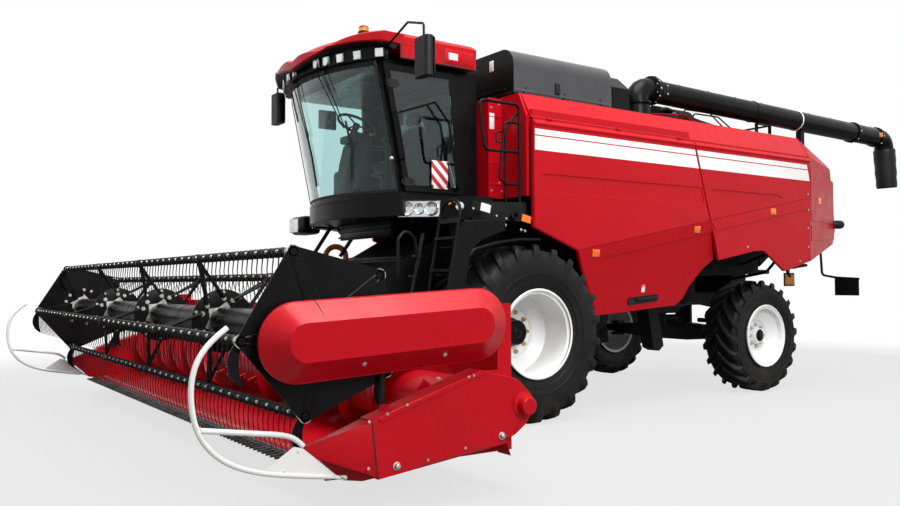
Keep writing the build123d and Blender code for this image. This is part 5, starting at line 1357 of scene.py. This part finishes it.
def make_interior():
    """The driver's seat with its seams, and the hard parts round it."""
    squab = cushion(at(-0.225, -0.80, 2.60), at(0.225, -0.36, 2.735), (0, 0, 0.022))
    back = cushion(at(-0.215, -0.41, 2.72), at(0.215, -0.29, 3.16), (0, 0.022, 0))
    head = cushion(at(-0.125, -0.40, 3.17), at(0.125, -0.31, 3.33), (0, 0.012, 0.006), 2)
    rests = [cushion(at(x - 0.03, -0.74, 2.90), at(x + 0.03, -0.42, 2.945), (0, 0, 0.006), 1) for x in (-0.25, 0.25)]
    seat = as_piece("driver_seat", joined([squab, back, head] + rests), "machine", "seat_fabric")
    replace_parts(seat, "cab_interior")
    edge = [at(x, y, z) for x, y, z in ((-0.222, -0.785, 2.690), (-0.111, -0.809, 2.700), (0.111, -0.809, 2.700),
                                        (0.222, -0.785, 2.690))]
    pipe_piece("seat_piping", [edge], 0.004, 0.02, 6, "black_plastic")
    hard = Shape()
    hard.turned([(2.30, 0.20), (2.36, 0.17), (2.40, 0.19), (2.44, 0.165), (2.48, 0.185), (2.52, 0.16), (2.56, 0.19),
                 (2.585, 0.20)], (0, -0.58 + AXLE_Y, 0), "Z", 28)
    hard.block(at(-0.24, -0.80, 2.575), at(0.24, -0.36, 2.61), 0.012)
    hard.block(at(-0.26, -0.86, 2.252), at(0.26, -0.32, 2.31), 0.02)
    hard.block(at(0.275, -0.90, 2.255), at(0.44, -0.40, 2.90), 0.03)
    hard.block(at(0.27, -0.93, 2.86), at(0.45, -0.50, 2.955), 0.03)
    hard.block(at(-0.02, -0.33, 3.10), at(0.02, -0.30, 3.20), 0.006)
    hard.turned([(0.0, 0.014), (0.10, 0.011), (0.12, 0.024), (0.17, 0.027), (0.19, 0.015)],
                at(0.36, -0.83, 2.94), (0, -0.2, 1), 16)
    for x, z in ((0.31, 2.958), (0.36, 2.958), (0.41, 2.958)):
        hard.turned([(0, 0.012), (0.012, 0.010)], at(x, -0.64, z), "Z", 10)
    hard.block(at(0.50, -1.05, 3.05), at(0.52, -0.80, 3.25), 0.006)
    hard.block(at(-0.90, -1.10, 3.20), at(-0.86, -0.88, 3.42), 0.008)
    hard.block(at(-0.865, -1.0, 3.28), at(-0.80, -0.96, 3.34), 0.006)
    pod = [(-1.25, 2.25), (-1.27, 2.40), (-1.24, 2.66), (-1.19, 2.86), (-1.11, 2.96), (-0.99, 2.985), (-0.93, 2.94),
           (-0.93, 2.80), (-0.96, 2.60), (-0.97, 2.40), (-0.97, 2.25)]
    hard.plate([at(-0.13, y, z) for y, z in pod], (0.26, 0, 0), 0.035)
    hard.block(at(-0.30, -1.22, 2.25), at(0.16, -0.98, 2.62), 0.05)
    hard.turned([(-0.20, 0.036), (0.0, 0.034)], at(0, -1.092, 3.066), (0, 0.45, 1), 20)
    hard.block(at(-0.17, -1.20, 2.90), at(0.17, -1.06, 2.985), 0.025)
    for x in (-0.16, 0.15, 0.22):
        hard.plate([at(x, -1.12, 2.30), at(x + 0.06, -1.12, 2.30), at(x + 0.06, -1.20, 2.38), at(x, -1.20, 2.38)],
                   (0, 0.008, 0.008), 0.002)
    hard.piece("cab_controls", "machine", "black_plastic", "seat_fabric")
    knobs = Shape()
    knobs.turned([(0.0, 0.0), (0.002, 0.014), (0.012, 0.020), (0.024, 0.014), (0.028, 0.0)],
                 at(0.20, -1.02, 2.965), (0.7, 0.45, 1), 14)
    knobs.piece("column_knob", "machine", "amber_paint")
    screen = Shape().block(at(-0.883, -1.085, 3.215), at(-0.858, -0.895, 3.405), 0.004)
    screen.piece("monitor_face", "machine", "lamp_glass")


make_interior()


# ---------------------------------------------------------------- platform, ladder, service wall
def make_platform_details():
    """What hangs on and below the platform: ladder, steps, lamps, pods, pulley, shroud and the wall's fittings."""
    black, white, orange, zinc, red = Shape(), Shape(), Shape(), Shape(), Shape()
    face = Vector((0, 0.754, -0.159)).normalized()

    def deck(y, z, wide, tall, shape, proud=0.004):
        """A plate on the platform's edge, along its slope."""
        a, b = face * (wide / 2), Vector((0, 0.159, 0.754)).normalized() * (tall / 2)
        spot = at(1.578, y, z)
        shape.plate([spot - a - b, spot + a - b, spot + a + b, spot - a + b], (0.002 + proud, 0, 0), 0.0012)
    deck(-0.535, 2.112, 0.118, 0.078, white, 0.002)
    deck(-0.033, 2.025, 0.115, 0.072, orange, 0.014)
    black.turned([(-0.02, 0.036), (0.004, 0.040), (0.006, 0.036), (0.002, 0.030), (-0.016, 0.028), (-0.018, 0.0)],
                 at(1.578, -0.171, 2.048), "X", 28)
    for y, z in ((-0.68, 2.10), (-0.40, 2.04), (-0.28, 2.02)):
        zinc.bolt(at(1.578, y, z), (1, 0, 0), 0.008, 0.006)
    for y in (-0.30, -0.10, -0.05):
        zinc.bolt(at(1.585, y, 1.955 - (y + 0.3) * 0.2), (1, 0, 0), 0.010, 0.012)
    # fender bracket behind the ladder and the folded ladder's rails
    run = [at(1.60, -0.82, 1.57), at(1.60, -0.70, 1.70), at(1.60, -0.42, 1.775), at(1.60, -0.13, 1.815),
           at(1.60, 0.13, 1.822)]
    pipe_piece("fender_pipe", [run], 0.018, 0.10, 10, "black_paint")
    black.plate([at(1.40, -0.86, 1.98), at(1.40, -0.78, 1.64), at(1.40, -0.60, 1.79), at(1.40, -0.30, 1.90),
                 at(1.40, -0.30, 2.00)], (0.20, 0, 0), 0.01)
    rails = [[at(1.42, -1.42, 1.45), at(1.42, -1.42, 1.80), at(1.42, -1.34, 1.89), at(1.42, -1.24, 1.80),
              at(1.42, -1.20, 1.55)],
             [at(1.42, -1.30, 1.20), at(1.42, -1.147, 1.854)], [at(1.30, -1.24, 1.10), at(1.30, -1.08, 1.84)]]
    pipe_piece("folded_ladder", rails, 0.016, 0.07, 10, "black_paint")
    for k in range(3):
        black.block(at(1.30, -1.285 + 0.045 * k, 1.25 + 0.19 * k), at(1.42, -1.245 + 0.045 * k, 1.275 + 0.19 * k),
                    0.006)
    lamps = Shape()
    lamps.turned([(0, 0.044), (0.006, 0.046), (0.022, 0.040), (0.026, 0.0)], at(1.385, -0.70, 2.135),
                 (0.76, -0.65, 0), 24)
    lamps.piece("round_lamp", "machine", "lamp_bowl")
    amber = Shape()
    amber.turned([(0, 0.018), (0.014, 0.016), (0.016, 0.0)], at(1.315, -0.775, 2.165), (0.76, -0.65, 0), 16)
    amber.turned([(0, 0.018), (0.014, 0.016), (0.016, 0.0)], at(1.345, -0.735, 2.190), (0.76, -0.65, 0), 16)
    amber.piece("small_lamps", "machine", "orange_plastic")
    for k in range(6):
        black.block(at(1.365, -0.88 - 0.047 * k, 1.98 - 0.26 * k), at(1.66, -0.80 - 0.047 * k, 1.992 - 0.26 * k),
                    0.004)
    # pods outside the right lamp and the pulley ring under the cab
    black.block(at(-1.55, -1.16, 1.98), at(-1.16, -0.92, 2.20), 0.05)
    pod = Shape().block(at(-1.535, -1.172, 2.005), at(-1.30, -1.155, 2.175), 0.012)
    pod.piece("right_pod_lens", "machine", "lamp_glass")
    pod = Shape().block(at(-1.53, -1.164, 2.01), at(-1.305, -1.158, 2.17), 0.003)
    pod.piece("right_pod_bowl", "machine", "lamp_bowl")
    ring = Shape()
    ring.turned([(-0.05, 0.110), (-0.05, 0.140), (-0.035, 0.146), (-0.02, 0.120), (0.02, 0.120), (0.035, 0.146),
                 (0.05, 0.140), (0.05, 0.110), (0.0, 0.085)], at(-0.78, -0.93, 1.70), (0.9, -0.35, 0.1), 36,
                 closed=True)
    ring.piece("drive_pulley", "machine", "amber_paint")
    stays = [[at(-0.73, -0.90, 1.70), at(-0.60, -0.70, 2.06)], [at(-0.95, -1.12, 1.74), at(-0.78, -0.98, 2.06)]]
    pipe_piece("pulley_strut", stays, 0.022, 0.02, 10, "matt_black")
    black.block(at(-0.50, -1.02, 1.87), at(0.62, -0.98, 2.06), 0.01)
    shroud = Shape().block(at(-0.50, -0.905, 1.56), at(0.62, -0.88, 1.67), 0.008)
    for k in range(3):
        black.block(at(-0.50, -1.045, 1.89 + 0.06 * k), at(0.62, -1.01, 1.91 + 0.06 * k), 0.008)
        shroud.block(at(-0.50, -0.918, 1.572 + 0.033 * k), at(0.62, -0.895, 1.592 + 0.033 * k), 0.008)
    shroud.piece("feeder_shroud", "header", "black_paint")
    # service wall behind the platform
    for y, z in ((-0.15, 2.34), (-0.05, 2.42), (-0.15, 3.20), (-0.05, 3.24), (-0.02, 2.34)):
        zinc.bolt(at(1.18, y, z), (1, 0, 0), 0.009, 0.006)
    white.block(at(1.180, -0.175, 2.975), at(1.184, -0.115, 3.140), 0.0006)
    for z in (2.40, 2.62, 3.10):
        red.block(at(1.176, -0.178, z), at(1.186, -0.02, z + 0.010), 0.003)
    for shape, name, finish in ((black, "platform_fittings", "black_paint"),
                                (white, "blank_platform_signs", "white_paint"),
                                (orange, "platform_reflector", "orange_plastic"), (zinc, "platform_bolts", "zinc"),
                                (red, "wall_pressings", "red_paint")):
        shape.piece(name, "machine", finish)


make_platform_details()


# ---------------------------------------------------------------- grain tank and unloading auger
def make_tank_details():
    """Ribs, latches and the painted-shade black front ends of the two covers, the tank's front rib and its blank
    sign.
    """
    black, white = Shape(), Shape()
    for side, hand in ((1, "left"), (-1, "right")):
        body = "tank_cover_" + hand
        rib = Shape()
        for y in (0.50, 0.97):
            rib.block(at(side * 1.02, y - 0.02, 3.829), at(side * 0.04, y + 0.02, 3.8385), 0.003)
        rib.block(at(side * 1.327 - 0.006, 0.05, 3.37), at(side * 1.327 + 0.008, 1.43, 3.40), 0.005)
        for y in (0.20, 0.74, 1.28):
            rib.bolt(at(side * 1.334, y, 3.42), (side, 0, 0), 0.010, 0.007)
        rib.piece("cover_ribs_" + hand, body, "cover_grey")
        latch = Shape()
        latch.block(at(side * 1.334 - 0.004, 0.60, 3.40), at(side * 1.334 + 0.014, 0.66, 3.52), 0.005)
        # Black plate on the cover's front end: painted shade of the face turned away from the light above.
        end = Shape()
        bow = [(side * (1.14 + 0.186 * math.sin(a)), 3.645 + 0.186 * math.cos(a)) for a in
               (math.pi / 2 * k / 8 for k in range(9))]
        outline = [(side * 0.012, 3.375), (side * 0.012, 3.830)] + bow + [(side * 1.326, 3.375)]
        end.plate([at(x, 0.0255, z) for x, z in outline], (0, 0.005, 0), 0.001)
        end.piece("cover_end_" + hand, body, "black_paint")
        latch.piece("cover_latch_" + hand, body, "black_plastic")
    white.block(at(0.93, 0.022, 3.64), at(1.00, 0.027, 3.755), 0.0006)
    black.block(at(-1.2, 0.005, 3.39), at(1.2, 0.030, 3.42), 0.006)
    black.piece("tank_front_ribs", "machine", "black_paint")
    white.piece("blank_tank_sign", "machine", "white_paint")


make_tank_details()


def make_auger_details():
    """Smooth bends, clamps, bolts, hatch and rubber spout of the unloading auger."""
    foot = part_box("unloading_auger")[0].z
    tube_r, droop = 0.136, math.radians(0.75)
    tube = pipes([[at(1.2, 2.0, foot + 0.002), at(1.2, 2.0, 3.68), at(1.2, 7.555, 3.6073), at(1.2, 7.61, 3.08)]],
                 tube_r, 0.165, 40, "black_paint")
    collar = Shape()
    collar.turned([(foot, 0.150), (foot, 0.163), (foot + 0.02, 0.165), (foot + 0.06, 0.165), (foot + 0.065, 0.158),
                   (foot + 0.40, 0.158), (foot + 0.43, 0.150), (foot + 0.43, 0.137)], (1.2, 2.0 + AXLE_Y, 0), "Z", 44)
    shell = as_piece("smooth_auger_tube", joined([tube, collar.mesh("collar")]), "unloading_auger", "black_paint")
    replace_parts(shell, "unloading_auger")
    black, zinc, white, orange, rubber = Shape(), Shape(), Shape(), Shape(), Shape()
    start, slope = at(1.2, 2.0, 3.68), Vector((0, math.cos(droop), -math.sin(droop)))
    # flanges, clamps and the white band along the tube: place, radius, width
    for y, radius, width, shape in ((2.235, 0.172, 0.05, black), (2.30, 0.158, 0.03, black),
                                    (6.65, 0.150, 0.05, black), (4.20, 0.1395, 0.02, black),
                                    (7.30, 0.150, 0.03, black), (5.20, 0.1385, 0.020, white)):
        shape.turned([(-width / 2, tube_r), (-width / 2, radius), (-width / 4, radius + 0.004),
                      (width / 4, radius + 0.004), (width / 2, radius), (width / 2, tube_r)],
                     start + slope * (y - 2.0), slope, 44, closed=True)
    for y, r, count in ((2.235, 0.176, 12), (6.65, 0.154, 8), (7.30, 0.153, 8)):
        centre = start + slope * (y - 2.0)
        for k in range(count):
            a = 2 * math.pi * k / count
            away = Vector((math.cos(a), 0, math.sin(a)))
            zinc.bolt(centre + away * r, away, 0.010, 0.009)
    for k in range(9):
        spot = start + slope * (0.7 + 0.55 * k)
        zinc.bolt(spot + Vector((0.05, 0, 0.126)), (0.35, 0, 1), 0.008, 0.008)
    hatch = start + Vector((0.0, 0.30, 0))
    black.block(hatch + Vector((0.125, -0.11, -0.07)), hatch + Vector((0.142, 0.11, 0.07)), 0.008)
    for y in (-0.09, 0.09):
        for z in (-0.05, 0.05):
            zinc.bolt(hatch + Vector((0.142, y, z)), (1, 0, 0), 0.008, 0.007)
    orange.block(at(1.334, 7.19, 3.585), at(1.345, 7.29, 3.655), 0.004)
    end = at(1.2, 7.578, 3.44)
    folds = [(0.0, 0.150), (0.03, 0.158), (0.07, 0.154), (0.16, 0.158), (0.26, 0.150), (0.36, 0.156), (0.45, 0.146),
             (0.55, 0.150), (0.60, 0.142), (0.60, 0.132), (0.50, 0.138), (0.0, 0.140)]
    rubber.turned(folds, end, (0, 0.10, -1), 40, closed=True)
    for shape, name, finish in ((black, "auger_clamps", "black_paint"), (zinc, "auger_bolts", "zinc"),
                                (white, "auger_band", "white_paint"), (orange, "auger_reflector", "orange_plastic"),
                                (rubber, "spout_sleeve", "black_plastic")):
        shape.piece(name, "unloading_auger", finish)


make_auger_details()


# ---------------------------------------------------------------- engine deck, underbody and rear
def make_engine_deck():
    """Air cleaner, pipes, hoses, rails and blocks on the deck behind the tank."""
    black, silver, red = Shape(), Shape(), Shape()
    black.block(at(0.30, 2.40, 3.40), at(0.95, 2.95, 3.60), 0.04)
    black.turned([(0, 0.15), (0.05, 0.17), (0.50, 0.17), (0.56, 0.14), (0.60, 0.05)], at(0.62, 3.05, 3.50), "Y", 28)
    for k in range(10):
        black.turned([(-0.010, 0.171), (-0.010, 0.176), (0.010, 0.176), (0.010, 0.171)],
                     at(0.62, 3.14 + 0.045 * k, 3.50), "Y", 28, closed=True)
    silver.turned([(3.40, 0.075), (3.62, 0.075), (3.64, 0.085), (3.66, 0.070)], at(-0.1, 3.05, 0), "Z", 20)
    silver.turned([(0, 0.10), (0.45, 0.10), (0.48, 0.06)], at(0.05, 2.55, 3.48), "Y", 24)
    black.block(at(-1.30, 2.48, 3.42), at(-0.60, 3.86, 3.47), 0.02)
    for y in (4.53, 4.83):
        for x in (1.05, -1.05):
            black.block(at(x - 0.018, y - 0.018, 3.05), at(x + 0.018, y + 0.018, 3.555), 0.005)
    rails = [[at(1.05, 4.53, 3.55), at(1.05, 4.83, 3.55), at(-1.05, 4.83, 3.55), at(-1.05, 4.53, 3.55)],
             [at(1.05, 4.53, 3.42), at(1.05, 4.83, 3.42), at(-1.05, 4.83, 3.42)]]
    pipe_piece("deck_rails", rails, 0.014, 0.06, 10, "black_paint")
    hoses = [[at(0.85, 2.45, 3.45), at(0.95, 2.8, 3.57), at(0.85, 3.6, 3.50), at(0.95, 4.3, 3.38)],
             [at(0.30, 2.75, 3.52), at(0.10, 3.30, 3.60), at(-0.3, 3.60, 3.50), at(-0.62, 3.60, 3.40)],
             [at(1.0, 2.25, 3.40), at(1.02, 3.2, 3.46), at(0.98, 4.4, 3.34)]]
    pipe_piece("deck_hoses", hoses, 0.028, 0.15, 10, "rubber_seal")
    thin = [[at(1.10, 2.30, 3.42), at(1.12, 2.9, 3.47), at(1.05, 3.4, 3.40), at(1.02, 4.1, 3.36)],
            [at(0.2, 2.35, 3.44), at(0.5, 2.34, 3.62), at(0.9, 2.42, 3.50)]]
    lines = []
    for k in range(7):
        x = 0.70 + 0.055 * k
        rise = 3.44 + 0.05 * ((k * 3) % 4)
        lines.append([at(x, 2.45 + 0.12 * k, 3.30), at(x + 0.02, 2.50 + 0.12 * k, rise),
                      at(x - 0.05, 3.2 + 0.1 * k, rise + 0.03),
                      at(x + 0.03, 3.5 + 0.12 * k, 3.30)])
    pipe_piece("deck_lines", lines, 0.010, 0.06, 8, "rubber_seal")
    for k in range(4):
        silver.turned([(0, 0.022), (0.03, 0.024), (0.035, 0.03), (0.06, 0.03), (0.065, 0.02)],
                      at(1.02 - 0.04 * k, 2.75 + 0.33 * k, 3.40), (0.3, 0.2, 1), 12)
        black.block(at(0.80, 2.60 + 0.42 * k, 3.30), at(0.88, 2.70 + 0.42 * k, 3.44 + 0.03 * (k % 2)), 0.012)
        red.turned([(0, 0.03), (0.05, 0.03), (0.055, 0.018)], at(0.98, 2.42 + 0.25 * k, 3.40), "Z", 14)
    pipe_piece("red_hoses", thin, 0.014, 0.12, 8, "red_paint")
    silver.turned([(0, 0.04), (0.12, 0.04), (0.14, 0.02)], at(0.96, 2.95, 3.40), "Z", 16)
    silver.block(at(0.72, 3.75, 3.38), at(0.96, 3.95, 3.47), 0.02)
    red.block(at(0.50, 4.05, 3.29), at(1.0, 4.40, 3.40), 0.03)
    black.piece("deck_machinery", "machine", "matt_black")
    silver.piece("deck_fittings", "machine", "engine_iron")
    red.piece("deck_cover", "machine", "red_paint")


make_engine_deck()


def make_underbody():
    """Drives and pipes between the axles, rear steering cylinder, lamps and hangers at the tail."""
    black, silver, amber, red = Shape(), Shape(), Shape(), Shape()
    for s, hand in ((1, "left"), (-1, "right")):
        x = s * 1.12
        black.turned([(-0.03, 0.17), (-0.03, 0.20), (0.0, 0.19), (0.03, 0.20), (0.03, 0.17)], at(x, 1.15, 1.35), "X",
                     36, closed=True)
        black.turned([(-0.025, 0.05), (0.025, 0.05), (0.035, 0.03)], at(x, 1.15, 1.35), "X", 20)
        for a in (0.4, 2.5, 4.6):
            spoke = Vector((0, math.cos(a), math.sin(a)))
            across = Vector((0, -math.sin(a), math.cos(a))) * 0.02
            c = at(x - 0.006, 1.15, 1.35)
            black.plate([c + spoke * 0.04 - across, c + spoke * 0.18 - across, c + spoke * 0.18 + across,
                         c + spoke * 0.04 + across], (0.012, 0, 0), 0.002)
        black.turned([(-0.03, 0.10), (-0.03, 0.125), (0.0, 0.115), (0.03, 0.125), (0.03, 0.10), (0.0, 0.03)],
                     at(x, 1.95, 1.30), "X", 32, closed=True)
        belt = []
        for k in range(13):
            a = math.pi / 2 + math.pi * k / 12
            belt.append(at(x, 1.15 + 0.185 * math.cos(a), 1.35 + 0.185 * math.sin(a)))
        for k in range(13):
            a = -math.pi / 2 + math.pi * k / 12
            belt.append(at(x, 1.95 + 0.112 * math.cos(a), 1.30 + 0.112 * math.sin(a)))
        pipe_piece("drive_belt_" + hand, [belt + belt[:1]], 0.012, 0.01, 6, "rubber_seal")
        black.block(at(min(s * 0.90, s * 1.06), 0.95, 1.14), at(max(s * 0.90, s * 1.06), 2.05, 1.18), 0.01)
        black.block(at(min(s * 0.55, s * 0.95), 2.55, 1.00), at(max(s * 0.55, s * 0.95), 3.05, 1.34), 0.05)
        black.turned([(0, 0.13), (0.04, 0.15), (0.55, 0.15), (0.60, 0.12)], at(s * 0.78, 1.20, 0.98), "Y", 24)
    pipes_low = [[at(0.90, 0.85, 1.20), at(1.08, 1.5, 1.05), at(1.02, 2.6, 1.10), at(0.62, 3.5, 1.18)],
                 [at(-0.90, 0.85, 1.20), at(-1.08, 1.5, 1.05), at(-1.02, 2.6, 1.10), at(-0.62, 3.5, 1.18)],
                 [at(0.45, 3.2, 1.00), at(0.70, 3.62, 1.12), at(0.95, 3.80, 1.05)]]
    pipe_piece("underbody_pipes", pipes_low, 0.016, 0.15, 8, "rubber_seal")
    rear_pipes = [[at(0.9, 4.35, 1.62), at(1.25, 4.50, 1.78), at(1.30, 4.70, 1.62)],
                  [at(0.7, 4.2, 1.40), at(1.15, 4.55, 1.52), at(1.20, 4.80, 1.75)],
                  [at(1.30, 4.55, 1.90), at(1.32, 4.72, 1.60), at(1.30, 4.86, 1.46)]]
    pipe_piece("rear_pipes", rear_pipes, 0.020, 0.10, 8, "black_paint")
    silver.turned([(-0.22, 0.032), (0.20, 0.032), (0.205, 0.020)], at(0.55, 4.16, 0.86), "X", 20)
    black.block(at(1.285, 4.735, 1.33), at(1.297, 4.975, 1.51), 0.004)
    amber.block(at(1.297, 4.75, 1.35), at(1.303, 4.96, 1.49), 0.002)
    black.block(at(1.27, 4.84, 1.50), at(1.29, 4.88, 1.90), 0.005)
    black.plate([at(1.27, 4.70, 1.54), at(1.27, 5.30, 1.60), at(1.27, 5.30, 1.635), at(1.27, 4.70, 1.66)],
                (0.02, 0, 0), 0.003)
    for x in (0.86, -0.86):
        black.plate([at(x - 0.02, 4.80, 1.60), at(x - 0.02, 5.35, 1.95), at(x - 0.02, 5.35, 2.05),
                     at(x - 0.02, 4.80, 1.80)], (0.04, 0, 0), 0.004)
        red.block(at(x - 0.09, 5.885, 2.40), at(x + 0.09, 5.894, 2.52), 0.003)
    black.block(at(-0.80, 4.70, 1.50), at(0.80, 5.15, 1.56), 0.02)
    black.block(at(-0.72, 2.95, 1.16), at(0.72, 3.62, 1.58), 0.03)
    black.block(at(-0.72, 4.35, 1.22), at(0.72, 4.72, 1.58), 0.03)
    for s in (1, -1):
        liner = [(2.86, 1.60), (3.02, 1.78), (3.25, 1.90), (3.9, 2.00), (4.15, 1.98), (4.45, 1.74), (4.62, 1.56),
                 (4.75, 1.56), (4.75, 2.10), (2.86, 2.10)]
        black.plate([at(s * 1.44, y, z) for y, z in liner], (s * 0.02, 0, 0), 0.003)
        black.plate([at(s * 0.90, y, z) for y, z in ((2.86, 1.45), (4.70, 1.50), (4.75, 2.00), (2.86, 2.00))],
                    (s * 0.02, 0, 0), 0.003)
    for k in range(6):
        spring = at(1.02, 3.35 + 0.045 * k, 1.66)
        black.turned([(-0.012, 0.05), (0.0, 0.062), (0.012, 0.05)], spring, "Y", 16)
    board = Shape()
    board.block(at(1.60, 5.5425, 1.225), at(1.86, 5.552, 1.40), 0.004)
    board.piece("rear_lamp_lens", "machine", "red_lens")
    plates = Shape()
    for x in (-0.55, 0.55):
        plates.block(at(x - 0.16, 5.888, 2.62), at(x + 0.16, 5.893, 2.82), 0.002)
    plates.piece("rear_warning_boards", "machine", "warning_bands")
    black.piece("underbody_drives", "machine", "matt_black")
    silver.piece("steering_barrel", "machine", "engine_iron")
    amber.piece("rear_plate", "machine", "amber_paint")
    red.piece("rear_lamps", "machine", "red_lens")


make_underbody()


# ---------------------------------------------------------------- camera, floor and light
def looked_at(tree):
    """The light path, and one for rays that come straight from the camera or through glass."""
    path = tree.nodes.new("ShaderNodeLightPath")
    return path, maths(tree, "MAXIMUM", path.outputs["Is Camera Ray"], path.outputs["Is Transmission Ray"])


def mixed(tree, share, first, second, out):
    """Two shaders, mixed by a share, into an output."""
    mix = tree.nodes.new("ShaderNodeMixShader")
    for socket, given in zip(mix.inputs, (share, first, second)):
        tree.links.new(given, socket)
    tree.links.new(mix.outputs[0], out.inputs["Surface"])


def studio():
    """Camera, plain light sky, pale floor and two lamps."""
    camera = in_scene("camera", bpy.data.cameras.new("camera"))
    bpy.context.scene.camera = camera
    yaw, pitch, roll = 0.9606, 0.0354, -0.0036
    ahead = Vector((-math.sin(yaw) * math.cos(pitch), math.cos(yaw) * math.cos(pitch), math.sin(pitch)))
    turn = ahead.to_track_quat("-Z", "Y")
    camera.rotation_mode = "QUATERNION"
    camera.rotation_quaternion = turn @ Matrix.Rotation(roll, 3, "Z").to_quaternion()
    camera.location = at(7.9661, -5.4208, 1.3936)
    camera.data.sensor_width = 36.0
    camera.data.lens = 36.0 * 837.2 / 900
    camera.data.clip_start = 0.1
    camera.data.clip_end = 500.0

    scene = bpy.context.scene
    scene.view_settings.view_transform = "Standard"
    world = bpy.data.worlds.new("sky")
    scene.world = world
    world.use_nodes = True
    tree = world.node_tree
    tree.nodes.clear()
    out = tree.nodes.new("ShaderNodeOutputWorld")
    path, seen = looked_at(tree)
    shown = maths(tree, "MAXIMUM", seen, path.outputs["Is Glossy Ray"])
    plain = tree.nodes.new("ShaderNodeBackground")
    plain.inputs["Color"].default_value = (1, 1, 1, 1)
    sky = tree.nodes.new("ShaderNodeBackground")
    place = tree.nodes.new("ShaderNodeTexCoord")
    split = tree.nodes.new("ShaderNodeSeparateXYZ")
    tree.links.new(place.outputs["Generated"], split.inputs[0])
    grey = blend_colours(tree, spread(tree, split.outputs["Z"], 0.08, 0.80, 0, 1), (0.10, 0.10, 0.105),
                         (1.0, 1.0, 1.0))
    tree.links.new(grey, sky.inputs["Color"])
    sky.inputs["Strength"].default_value = 1.15
    mixed(tree, shown, sky.outputs[0], plain.outputs[0], out)

    part = bmesh.new()
    bmesh.ops.create_grid(part, x_segments=2, y_segments=2, size=60.0)
    mesh = Shape().merge(part).mesh("floor")
    obj = in_scene("floor", mesh)
    material, tree, shader = new_material("pale_floor")
    shader.inputs["Base Color"].default_value = (0.20, 0.20, 0.20, 1)
    shader.inputs["Roughness"].default_value = 0.9
    place = tree.nodes.new("ShaderNodeTexCoord")
    far = tree.nodes.new("ShaderNodeTexGradient")
    far.gradient_type = "SPHERICAL"
    mapping = tree.nodes.new("ShaderNodeMapping")
    mapping.inputs["Scale"].default_value = (0.085, 0.085, 0.085)
    tree.links.new(place.outputs["Object"], mapping.inputs["Vector"])
    tree.links.new(mapping.outputs["Vector"], far.inputs["Vector"])
    near = spread(tree, far.outputs["Fac"], 0.0, 0.30, 0.0, 1.0)
    white = tree.nodes.new("ShaderNodeEmission")
    white.inputs["Strength"].default_value = 1.0
    share = maths(tree, "MULTIPLY", spread(tree, near, 0, 1, 1.0, 0.72), looked_at(tree)[1])
    out = next(n for n in tree.nodes if n.type == "OUTPUT_MATERIAL")
    mixed(tree, share, shader.outputs["BSDF"], white.outputs[0], out)
    mesh.materials.append(material)

    def lamp(name, place, target, size, power):
        """A round soft lamp that looks at its target."""
        data = bpy.data.lights.new(name, "AREA")
        data.shape = "DISK"
        data.size = size
        data.energy = power
        obj = in_scene(name, data)
        obj.location = place
        obj.rotation_euler = (Vector(target) - Vector(place)).to_track_quat("-Z", "Y").to_euler()

    lamp("overhead", (3.0, -2.0, 11.0), (0, 0, 1), 8.0, 1300)
    lamp("left", (14.0, -3.0, 8.0), (0, 0, 1.5), 6.0, 1150)


studio()
